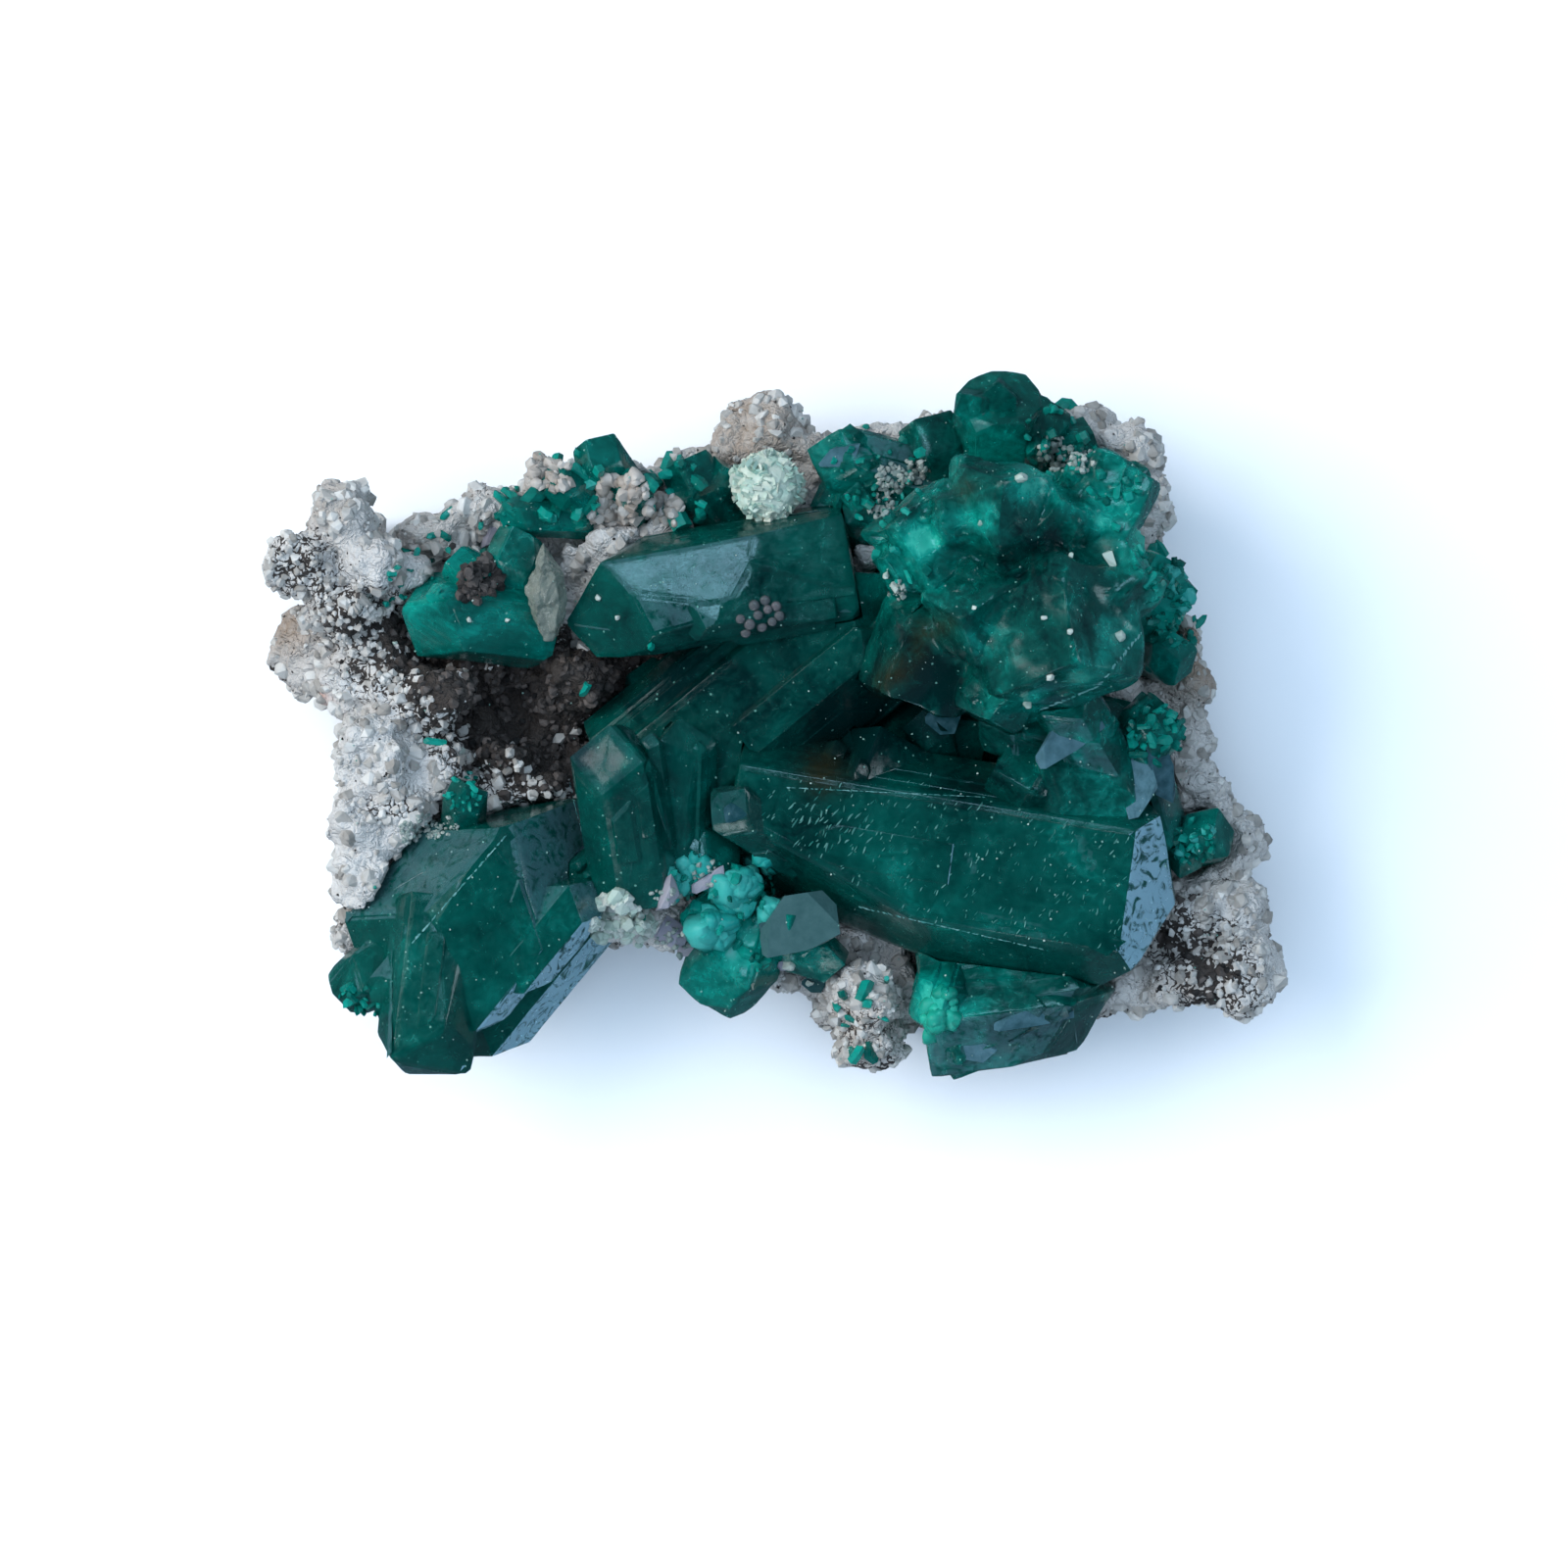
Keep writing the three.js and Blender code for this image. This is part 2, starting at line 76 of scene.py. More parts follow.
# A dioptase specimen, seen from above. The pieces are shaped in millimetres, with the origin at the middle
# of the specimen's outline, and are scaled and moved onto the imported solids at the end.
mm = 0.001


def link(name, mesh):
    piece = bpy.data.objects.new(name, mesh)
    bpy.context.scene.collection.objects.link(piece)
    return piece


def fromShape(shape, name):
    mesh = bpy.data.meshes.new(name)
    shape.to_mesh(mesh)
    shape.free()
    return link(name, mesh)


def discard(pieces):
    for piece in pieces:
        mesh = piece.data
        bpy.data.objects.remove(piece)
        bpy.data.meshes.remove(mesh)


# Turns a piece's modifiers into plain mesh.
def settle(piece):
    bpy.context.view_layer.update()
    seen = piece.evaluated_get(bpy.context.evaluated_depsgraph_get())
    mesh = bpy.data.meshes.new_from_object(seen)
    piece.modifiers.clear()
    piece.data = mesh


def combine(piece, others, operation):
    group = bpy.data.collections.new("others")
    for other in others:
        group.objects.link(other)
    cut = piece.modifiers.new("combine", "BOOLEAN")
    cut.operation = operation
    cut.solver = "MANIFOLD"
    cut.operand_type = "COLLECTION"
    cut.collection = group
    settle(piece)
    bpy.data.collections.remove(group)


def smoothOut(shape, rounds):
    axes = {"use_axis_x": True, "use_axis_y": True, "use_axis_z": True}
    for _ in range(rounds):
        bmesh.ops.smooth_vert(shape, verts=shape.verts, factor=0.5, **axes)


def faceVectors(mesh, name):
    values = np.empty(len(mesh.polygons) * 3)
    mesh.polygons.foreach_get(name, values)
    return values.reshape(-1, 3)


# Keeps the outer skins of a shape, without hollows inside it and without crumbs.
def keepSkins(shape, leastVolume=0.05):
    waiting = set(shape.faces)
    while waiting:
        skin = [waiting.pop()]
        for face in skin:
            for edge in face.edges:
                for other in edge.link_faces:
                    if other in waiting:
                        waiting.remove(other)
                        skin.append(other)
        volume = 0
        for face in skin:
            first, *others = [corner.co for corner in face.verts]
            volume += sum(first.dot(a.cross(b)) for a, b in zip(others, others[1:])) / 6
        if volume < leastVolume:
            bmesh.ops.delete(shape, geom=skin, context="FACES")


# Crystals, group by group. root and tip are the ends of a crystal's long axis, width is across its side
# edges and depth across its upper and lower faces. roll turns it about its axis, and turn moves its end
# faces round it. cap cuts the tip off square, doubled repeats the end at the root, shave moves single side
# faces inwards, and each cut is a point and the direction in which the crystal ends there.
crystalForm = {
    "faceLean": 51,  # lean of an end face from the long axis, in degrees
    "wear": 0.035,  # rounding of the edges
    "wearSegments": 2,
    "edgeLength": 0.3,  # of the mesh on the faces
    "socket": 0.06,  # left between neighbouring groups
    "waves": ((1.9, 0.035), (0.6, 0.012)),  # wavelengths and heights on a face
    "chips": 9,  # facets across worn edges
    "chipDepth": (0.015, 0.085),
    "chipLean": 0.3,
    "block": 60,  # side of the block that a crystal is cut from
    "facingWeight": 4,  # of direction against distance, where a polygon's crystal face is looked up
}


def parallel(crystal, slide, sideways, lift, size):
    root = Vector(crystal["root"])
    tip = Vector(crystal["tip"])
    along = (tip - root).normalized()
    up = (Vector((0, 0, 1)) - along * along.z).normalized()
    shift = up * lift + along.cross(up) * sideways
    depth = crystal.get("depth", crystal["width"] * math.cos(math.pi / 6)) * size
    moved = dict(root=root + shift, tip=tip + shift + along * slide)
    return {**crystal, **moved, "width": crystal["width"] * size, "depth": depth}


largeCrystal = dict(
    root=(-1.3, -3.0, 5.4),
    tip=(12.6, -5.3, 5.8),
    width=6.4,
    depth=4.5,
    roll=2,
    turn=-32,
    lean=36,
    cuts=[((-0.15, -3.9, 6.5), (-0.49, -0.87, 0.35))],
)
lowerRightCrystal = dict(root=(4.7, -8.9, 4.2), tip=(10.6, -8.2, 4.3), width=4.3, roll=37)
lowerLeftCrystal = dict(
    root=(-12.0, -9.6, 4.2),
    tip=(-5.9, -2.2, 4.8),
    width=6.7,
    roll=7,
    doubled=True,
    shave={2: 1.8},
)
upperLeftCrystal = dict(
    root=(2.4, 4.8, 5.9),
    tip=(-6.5, 3.2, 6.1),
    width=4.6,
    roll=15,
    turn=60,
    shave={4: 0.9},
    cuts=[((-0.88, 4.73, 7.9), (0.17, 0.215, 0.96))],
)
centreCrystal = dict(root=(-4.0, -2.3, 4.0), tip=(4.6, 4.7, 5.4), width=5.4, depth=4.2, roll=-8)
leaningCrystal = dict(root=(10.2, -4.2, 5.0), tip=(8.5, 1.2, 6.8), width=5.0, roll=7)
raisedFront = dict(root=(8.0, 4.6, 5.6), tip=(9.2, 1.9, 13.2), width=5.6, roll=12)

crystalGroups = {
    "raised_cluster": [
        raisedFront,
        parallel(raisedFront, -1.6, 1.3, -0.9, 0.66),
        dict(root=(7.2, 4.4, 5.0), tip=(3.4, 1.0, 9.6), width=4.2, roll=4, turn=60),
        dict(root=(6.6, 5.0, 6.0), tip=(11.7, 7.6, 10.6), width=3.4, roll=18, turn=60),
        dict(root=(7.2, 4.8, 6.0), tip=(3.6, 6.2, 11.0), width=4.0, roll=-14),
        dict(root=(7.0, 4.6, 6.0), tip=(7.0, 7.5, 12.4), width=3.6, roll=24),
        dict(root=(8.2, 4.4, 6.0), tip=(8.8, 6.9, 11.6), width=2.4, roll=0),
        dict(root=(7.8, 4.2, 6.0), tip=(11.4, 4.6, 11.2), width=3.4, roll=6, turn=60),
        dict(root=(7.6, 4.2, 6.0), tip=(5.7, 3.2, 12.0), width=3.4, roll=40),
        dict(root=(7.6, 3.4, 6.0), tip=(6.6, 0.1, 10.2), width=2.7, roll=20),
    ],
    "large_crystal": [
        largeCrystal,
        parallel(largeCrystal, -0.9, 0.5, -0.3, 0.86),
        dict(root=(0.9, -3.9, 5.6), tip=(-2.0, -2.1, 8.0), width=1.9, roll=20, turn=60),
        dict(root=(3.0, -3.0, 5.0), tip=(3.3, 0.0, 7.0), width=3.4, roll=12),
    ],
    "plate_crystals": [
        leaningCrystal,
        parallel(leaningCrystal, -0.6, 1.0, -0.5, 0.8),
        dict(root=(10.4, -1.6, 6.4), tip=(8.4, 1.6, 9.4), width=2.2, roll=-20),
        dict(root=(8.7, -1.8, 6.4), tip=(6.8, -1.3, 8.5), width=2.2, roll=10),
        dict(root=(9.4, -0.4, 6.4), tip=(6.3, 0.2, 8.4), width=2.2, roll=24),
        dict(root=(10.9, -1.4, 5.6), tip=(12.1, 0.7, 7.8), width=1.9, roll=8),
    ],
    "upright_crystals": [
        dict(root=(-4.2, -5.2, 6.0), tip=(-5.0, 0.1, 8.4), width=2.9, roll=4, turn=60),
        dict(root=(-3.1, -4.6, 5.5), tip=(-2.9, 0.3, 7.3), width=2.1, roll=-12),
        dict(root=(-4.2, -3.4, 4.8), tip=(-6.3, -5.3, 6.1), width=1.8, roll=12),
        dict(root=(-4.2, -2.5, 5.4), tip=(-1.1, -4.7, 6.1), width=2.0, roll=-8, turn=60),
    ],
    "lower_left_crystals": [
        lowerLeftCrystal,
        parallel(lowerLeftCrystal, -2.0, -0.45, -0.1, 0.88),
        dict(root=(-10.3, -5.4, 5.8), tip=(-11.0, -11.5, 6.8), width=3.1, roll=8, turn=60, cap=0.9),
        dict(root=(-11.6, -6.8, 4.4), tip=(-13.6, -8.8, 5.2), width=2.2, roll=20, cap=0.3),
        dict(root=(-9.7, -3.2, 5.0), tip=(-9.5, -1.8, 7.2), width=1.4, roll=10),
    ],
    "upper_left_crystal": [
        upperLeftCrystal,
        parallel(upperLeftCrystal, -2.4, 0.7, -0.2, 0.7),
    ],
    "centre_crystal": [
        centreCrystal,
        parallel(centreCrystal, -1.4, -1.5, 0.2, 0.6),
    ],
    "lower_right_crystals": [
        lowerRightCrystal,
        parallel(lowerRightCrystal, -1.2, -1.3, -0.1, 0.8),
        dict(root=(6.4, -8.0, 4.2), tip=(5.6, -11.0, 4.8), width=2.6, roll=14, turn=60),
        dict(root=(5.6, -7.4, 4.2), tip=(5.0, -9.4, 6.6), width=2.2, roll=30),
    ],
    "top_crystals": [
        dict(root=(7.0, 6.9, 4.0), tip=(7.0, 11.3, 7.9), width=3.0, roll=0, turn=60, cap=1.5),
        dict(root=(7.4, 7.2, 4.0), tip=(8.5, 10.2, 7.1), width=1.9, roll=10, cap=0.3),
        dict(root=(7.8, 7.6, 4.0), tip=(9.9, 9.1, 6.6), width=1.7, roll=16),
        dict(root=(6.4, 7.2, 4.2), tip=(1.0, 8.6, 6.0), width=2.2, roll=20, turn=60),
        dict(root=(6.6, 7.0, 4.0), tip=(4.3, 9.5, 6.5), width=2.2, roll=0),
        dict(root=(5.6, 6.8, 3.8), tip=(1.0, 6.8, 5.6), width=2.8, roll=8),
    ],
    "left_crystals": [
        dict(root=(-7.2, 3.2, 4.4), tip=(-11.6, 3.7, 6.2), width=3.0, roll=-18, turn=60),
        dict(root=(-7.6, 3.8, 4.2), tip=(-10.2, 5.1, 6.6), width=1.5, roll=14),
        dict(root=(-8.0, 3.2, 3.8), tip=(-8.1, 6.2, 6.2), width=2.0, roll=0),
    ],
    "back_crystals": [
        dict(root=(-4.4, 6.7, 4.0), tip=(-5.9, 8.9, 6.2), width=1.8, roll=8),
        dict(root=(-4.6, 6.4, 4.0), tip=(-8.6, 6.6, 5.9), width=1.4, roll=-8, turn=60),
        dict(root=(-4.8, 6.4, 4.0), tip=(-6.9, 7.6, 6.6), width=1.3, roll=16),
        dict(root=(-4.4, 6.5, 4.2), tip=(-4.3, 7.7, 6.8), width=1.2, roll=0),
    ],
    "back_crystal_right": [
        dict(root=(-1.6, 6.6, 3.8), tip=(-3.0, 8.2, 6.2), width=1.9, roll=10),
        dict(root=(-1.8, 6.8, 3.8), tip=(-1.6, 8.1, 6.0), width=1.3, roll=0),
    ],
    "bottom_crystals": [
        dict(root=(-0.8, -5.6, 4.0), tip=(-1.8, -9.2, 5.0), width=2.9, depth=2.2, roll=6, cap=0.4),
        dict(root=(-1.0, -5.2, 4.0), tip=(-2.6, -6.6, 6.3), width=1.8, roll=22),
        dict(root=(-1.3, -5.8, 4.0), tip=(-1.0, -4.6, 7.0), width=1.5, roll=0),
        dict(root=(0.6, -6.6, 3.8), tip=(0.5, -5.9, 7.0), width=2.0, roll=14),
        dict(root=(0.0, -6.6, 3.8), tip=(2.2, -7.4, 5.4), width=1.6, roll=0),
    ],
    "right_edge_crystals": [
        dict(root=(11.5, 3.0, 3.6), tip=(12.4, 4.8, 6.6), width=1.9, roll=10),
        dict(root=(11.7, 2.4, 3.6), tip=(12.6, 2.0, 6.6), width=1.7, roll=20),
        dict(root=(11.5, 2.6, 3.6), tip=(11.9, 5.4, 6.4), width=1.5, roll=4),
    ],
    "right_small_crystal": [
        dict(root=(13.1, -3.6, 3.4), tip=(13.6, -3.3, 6.5), width=1.8, roll=10),
        dict(root=(13.1, -3.6, 3.4), tip=(12.6, -4.2, 5.9), width=1.3, roll=0),
    ],
}


# The faces of a crystal, as a point on each and its outward normal: six sides, end faces, and square ends.
def crystalFaces(crystal, grow=0):
    root = Vector(crystal["root"])
    tip = Vector(crystal["tip"])
    width = crystal["width"]
    depth = crystal.get("depth", width * math.cos(math.pi / 6))
    along = (tip - root).normalized()
    up = (Vector((0, 0, 1)) - along * along.z).normalized()
    side = along.cross(up)
    roll = math.radians(crystal.get("roll", 0))
    turn = math.radians(crystal.get("turn", 0))
    lean = math.radians(crystal.get("lean", crystalForm["faceLean"]))
    shave = crystal.get("shave", {})
    faces = []
    for k in range(6):
        angle = roll + k * math.pi / 3
        normal = up * math.cos(angle) + side * math.sin(angle)
        reach = depth / 2 if k % 3 == 0 else width / 2 * math.cos(math.pi / 6)
        faces.append((root + normal * (reach - shave.get(k, 0) + grow), normal))
    for k in range(3):
        angle = roll + turn + (k * 2 + 0.5) * math.pi / 3
        outward = up * math.cos(angle) + side * math.sin(angle)
        normal = along * math.cos(lean) + outward * math.sin(lean)
        faces.append((tip + normal * grow, normal))
        if crystal.get("doubled"):
            faces.append((root - normal * grow, -normal))
    if crystal.get("cap"):
        faces.append((tip + along * (grow - crystal["cap"]), along))
    for place, normal in crystal.get("cuts", []):
        normal = Vector(normal).normalized()
        faces.append((Vector(place) + normal * grow, normal))
    if not crystal.get("doubled"):
        faces.append((root - along * grow, -along))
    return faces


# A block is cut down to the crystal's faces one by one, and its edges are worn.
def cutAway(shape, point, normal):
    everything = shape.verts[:] + shape.edges[:] + shape.faces[:]
    bmesh.ops.bisect_plane(
        shape,
        geom=everything,
        dist=1e-5,
        plane_co=point,
        plane_no=normal,
        clear_outer=True,
    )
    rim = [edge for edge in shape.edges if edge.is_boundary]
    if rim:
        bmesh.ops.contextual_create(shape, geom=rim)


# A crystal is convex, so a skin stretched round its corners closes it cleanly. Corners nearer to each other
# than the distance are made one.
def wrap(shape, distance=0.012):
    bmesh.ops.delete(shape, geom=shape.faces[:] + shape.edges[:], context="EDGES_FACES")
    bmesh.ops.remove_doubles(shape, verts=shape.verts, dist=distance)
    if len(shape.verts) < 4:
        shape.clear()
        return
    bmesh.ops.convex_hull(shape, input=shape.verts)
    loose = [corner for corner in shape.verts if not corner.link_faces]
    bmesh.ops.delete(shape, geom=loose, context="VERTS")
    bmesh.ops.dissolve_limit(shape, angle_limit=math.radians(1.5), verts=shape.verts, edges=shape.edges)
    bmesh.ops.recalc_face_normals(shape, faces=shape.faces)


def chipEdges(shape, width, chance):
    for _ in range(crystalForm["chips"]):
        shape.normal_update()
        edges = [edge for edge in shape.edges if len(edge.link_faces) == 2]
        if not edges:
            return
        edge = chance.choice(edges)
        jitter = Vector([chance.uniform(-1, 1) for _ in range(3)]) * crystalForm["chipLean"]
        normal = (edge.link_faces[0].normal + edge.link_faces[1].normal + jitter).normalized()
        depth = chance.uniform(*crystalForm["chipDepth"]) * math.sqrt(width)
        ends = [corner.co for corner in edge.verts]
        outer = ends[0] if ends[0].dot(normal) > ends[1].dot(normal) else ends[1]
        cutAway(shape, outer - normal * depth, normal)


def crystalShape(crystal, grow=0, wear=0, chance=None, steps=False):
    shape = bmesh.new()
    middle = (Vector(crystal["root"]) + Vector(crystal["tip"])) / 2
    bmesh.ops.create_cube(shape, size=crystalForm["block"], matrix=Matrix.Translation(middle))
    for point, normal in crystalFaces(crystal, grow):
        cutAway(shape, point, normal)
    if chance:
        chipEdges(shape, crystal["width"], chance)
    wrap(shape)
    if wear:
        bmesh.ops.bevel(
            shape,
            geom=shape.edges[:],
            offset=wear,
            offset_type="OFFSET",
            segments=crystalForm["wearSegments"],
            profile=0.5,
            affect="EDGES",
            clamp_overlap=True,
            material=-1,
        )
    if steps:
        addGrowthSteps(shape, chance)
    return shape


# A big face carries a low terrace or two, set in from its edges.
growthSteps = {
    "rounds": 2,
    "leastArea": 1.2,
    "inset": (0.10, 0.35),
    "mostInset": 0.4,  # of half the face's width
    "height": (0.015, 0.04),
    "share": 0.7,
}


def addGrowthSteps(shape, chance):
    for _ in range(growthSteps["rounds"]):
        wide = [face for face in shape.faces if face.calc_area() > growthSteps["leastArea"]]
        for face in wide:
            if chance.random() > growthSteps["share"]:
                continue
            halfWidth = face.calc_area() / face.calc_perimeter()
            inset = min(chance.uniform(*growthSteps["inset"]), halfWidth * growthSteps["mostInset"])
            height = chance.uniform(*growthSteps["height"])
            bmesh.ops.inset_individual(shape, faces=[face], thickness=inset, depth=height)


# Smaller crystals in parallel position that stand out of a crystal's sides by a hair. start and end are
# shares of the crystal's length, and aside is a share of its width.
offshoots = {
    "leastParent": 1.6,  # width of the smallest crystal that has them
    "size": (0.22, 0.6),
    "standOut": (0.03, 0.13),
    "aside": (-0.35, 0.35),
    "start": (0.0, 0.45),
    "end": (0.5, 0.97),
    "lowestFacing": -0.3,
}


def offshootsOf(parent, crystal, count, chance):
    root = Vector(crystal["root"])
    tip = Vector(crystal["tip"])
    depth = crystal.get("depth", crystal["width"] * math.cos(math.pi / 6))
    shoots = []
    for _ in range(count):
        size = chance.uniform(*offshoots["size"])
        faces = crystalFaces(crystal)[:6]
        seen = [k for k in range(6) if faces[k][1].z > offshoots["lowestFacing"]]
        k = chance.choice(seen)
        normal = faces[k][1]
        reach = (faces[k][0] - root).dot(normal)
        tangent = normal.cross((tip - root).normalized())
        ownReach = depth * size / 2 if k % 3 == 0 else crystal["width"] * size / 2 * math.cos(math.pi / 6)
        shift = normal * (reach - ownReach + chance.uniform(*offshoots["standOut"]))
        shift += tangent * chance.uniform(*offshoots["aside"]) * (1 - size) * crystal["width"]
        start = chance.uniform(*offshoots["start"])
        end = chance.uniform(*offshoots["end"]) - crystal.get("cap", 0) / (tip - root).length
        shoot = {key: value for key, value in crystal.items() if key not in ("cap", "shave")}
        shoot.update(
            parent=parent,
            root=root.lerp(tip, start) + shift,
            tip=root.lerp(tip, end) + shift,
            width=crystal["width"] * size,
            depth=depth * size,
        )
        shoots.append(shoot)
    return shoots


# How many offshoots each crystal of a group has.
offshootCounts = {
    "raised_cluster": 2,
    "large_crystal": 4,
    "plate_crystals": 3,
    "upright_crystals": 4,
    "lower_left_crystals": 4,
    "upper_left_crystal": 4,
    "centre_crystal": 7,
    "lower_right_crystals": 5,
    "top_crystals": 2,
    "bottom_crystals": 2,
    "left_crystals": 2,
}

# Offshoots that splay, for each crystal of a group.
splayedCounts = {
    "raised_cluster": 4,
    "top_crystals": 2,
    "plate_crystals": 1,
    "bottom_crystals": 2,
    "left_crystals": 1,
}
splayed = {"lean": 0.55, "size": (0.28, 0.5), "start": (0.25, 0.5), "end": (0.62, 0.9)}

# Groups with rough faces, as the wavelengths and heights of their waves.
roughWaves = {
    "raised_cluster": ((1.3, 0.20), (0.6, 0.07)),
    "top_crystals": ((1.5, 0.05), (0.5, 0.015)),
    "bottom_crystals": ((1.2, 0.10), (0.5, 0.04)),
    "lower_right_crystals": ((1.5, 0.07), (0.5, 0.02)),
    "plate_crystals": ((1.5, 0.06), (0.5, 0.02)),
}

# How often a group's edges are smoothed, where they are worn round.
wornRounds = {"raised_cluster": 5, "bottom_crystals": 1}

# Smaller crystals that fill the hollows between the large ones.
extraCrystals = {
    "centre_crystal": [
        dict(root=(-3.2, -1.6, 3.4), tip=(0.8, 0.6, 5.0), width=2.8, roll=12),
        dict(root=(-0.6, -0.6, 3.2), tip=(3.4, 1.2, 5.0), width=2.6, roll=-14, turn=60),
        dict(root=(0.6, -0.2, 3.4), tip=(-1.6, 2.4, 4.9), width=2.2, roll=20),
        dict(root=(-2.6, 0.6, 3.2), tip=(-4.6, 1.6, 4.4), width=1.9, roll=5),
    ],
    "large_crystal": [
        dict(root=(3.2, -0.6, 3.4), tip=(6.7, 0.1, 5.7), width=2.7, roll=10),
        dict(root=(5.4, -1.4, 4.0), tip=(4.7, 0.6, 6.3), width=1.8, roll=0, turn=60),
        dict(root=(7.2, -0.8, 3.4), tip=(5.6, 1.3, 5.2), width=2.2, roll=25),
    ],
}


def splayedFrom(crystal, count, chance):
    root = Vector(crystal["root"])
    tip = Vector(crystal["tip"])
    shoots = []
    for _ in range(count):
        start = root.lerp(tip, chance.uniform(*splayed["start"]))
        sideways = Vector([chance.gauss(0, 1) for _ in range(3)]).normalized() * splayed["lean"]
        reach = (tip - start).length * chance.uniform(*splayed["end"])
        heading = ((tip - root).normalized() + sideways).normalized()
        width = crystal["width"] * chance.uniform(*splayed["size"])
        shoot = dict(root=start, tip=start + heading * reach, width=width)
        shoot["roll"] = chance.uniform(0, 60)
        shoot["turn"] = chance.choice((0, 60))
        shoots.append(shoot)
    return shoots


# Where four faces meet at an edge, turns the edge between the two that lie in one plane. A face takes part
# in one turn at most, so this is done a few times over.
def turnSharedEdges(faces, places):
    corners = places[faces]
    normals = np.cross(corners[:, 1] - corners[:, 0], corners[:, 2] - corners[:, 0])
    normals /= np.linalg.norm(normals, axis=1, keepdims=True) + 1e-12
    meetings = {}
    for index, (a, b, c) in enumerate(faces.tolist()):
        for start, end, far in ((a, b, c), (b, c, a), (c, a, b)):
            meetings.setdefault((min(start, end), max(start, end)), []).append((index, start, end, far))
    turned = set()
    for meeting in meetings.values():
        if len(meeting) < 3:
            continue
        pairs = [(one, other) for one in meeting for other in meeting if one[1] == other[2]]
        pairs = [(one, other) for one, other in pairs if one[0] < other[0]]
        pairs.sort(key=lambda pair: -normals[pair[0][0]].dot(normals[pair[1][0]]))
        for (one, start, end, far), (other, _, _, otherFar) in pairs:
            across = (min(far, otherFar), max(far, otherFar))
            if one in turned or other in turned or across in meetings or far == otherFar:
                continue
            faces[one] = (far, start, otherFar)
            faces[other] = (otherFar, end, far)
            turned.update((one, other))
            break
    return len(turned)


# A shape's corners are moved by a hair before it is refined, which keeps them out of line.
refining = {"jitter": 0.001, "turnRounds": 4, "halvings": 8}


# Halves the long edges of a shape until all are short, and makes a mesh of it. The faces at an edge share
# its new corner, so a closed shape stays closed.
def refine(shape, edgeLength, name):
    chance = random.Random(name)
    for corner in shape.verts:
        corner.co += Vector([chance.uniform(-1, 1) for _ in range(3)]) * refining["jitter"]
    bmesh.ops.triangulate(shape, faces=shape.faces)
    shape.verts.index_update()
    places = np.array([corner.co for corner in shape.verts])
    faces = np.array([[corner.index for corner in face.verts] for face in shape.faces])
    shape.free()
    for _ in range(refining["turnRounds"]):
        if not turnSharedEdges(faces, places):
            break
    for _ in range(refining["halvings"]):
        sides = np.sort(np.stack([faces, np.roll(faces, -1, axis=1)], axis=2), axis=2)
        edges, ownEdges = np.unique(sides.reshape(-1, 2), axis=0, return_inverse=True)
        ends = places[edges]
        long = np.linalg.norm(ends[:, 0] - ends[:, 1], axis=1) > edgeLength
        if not long.any():
            break
        middles = np.full(len(edges), -1)
        middles[long] = len(places) + np.arange(long.sum())
        places = np.concatenate([places, ends[long].mean(axis=1)])
        faces = splitFaces(faces, middles[ownEdges.reshape(-1, 3)])
    mesh = bpy.data.meshes.new(name)
    mesh.from_pydata(places, [], faces)
    mesh.update()
    return mesh


# Splits each triangle at the new corners in its sides. A side without one has the number -1.
def splitFaces(faces, middles):
    halved = (middles >= 0).sum(axis=1)
    made = [faces[halved == 0]]
    for k in range(3):
        a, b, c = (faces[:, (k + step) % 3] for step in range(3))
        ab, bc, ca = (middles[:, (k + step) % 3] for step in range(3))
        one = (halved == 1) & (ab >= 0)
        made.append(np.stack([a, ab, c], axis=1)[one])
        made.append(np.stack([ab, b, c], axis=1)[one])
        two = (halved == 2) & (ca < 0)
        made.append(np.stack([ab, b, bc], axis=1)[two])
        made.append(np.stack([a, ab, bc], axis=1)[two])
        made.append(np.stack([a, bc, c], axis=1)[two])
    three = halved == 3
    a, b, c = faces[three].T
    ab, bc, ca = middles[three].T
    for corners in ((a, ab, ca), (ab, b, bc), (ca, bc, c), (ab, bc, ca)):
        made.append(np.stack(corners, axis=1))
    return np.concatenate(made)


# Faces with a painted pale-blue reflection, broken up like an etched skin: for each group, the crystal, its
# face and how strong the painted reflection is.
paintedReflectionFaces = {
    "large_crystal": {(0, 6): 1.0, (1, 6): 1.0, (2, 6): 0.05, (2, 8): 0.05},
    "lower_left_crystals": {(0, 5): 0.13, (1, 5): 0.13, (0, 6): 0.18, (0, 1): 1.0, (1, 1): 1.0},
    "upright_crystals": {(0, 8): 0.04, (3, 0): 0.1},
    "upper_left_crystal": {(0, 0): 0.12, (1, 0): 0.1},
    "plate_crystals": {(0, 1): 0.1, (1, 1): 0.07, (2, 0): 0.12},
    "lower_right_crystals": {(0, 0): 0.14, (2, 5): 0.12},
    "top_crystals": {(3, 0): 0.16, (0, 8): 0.08},
}


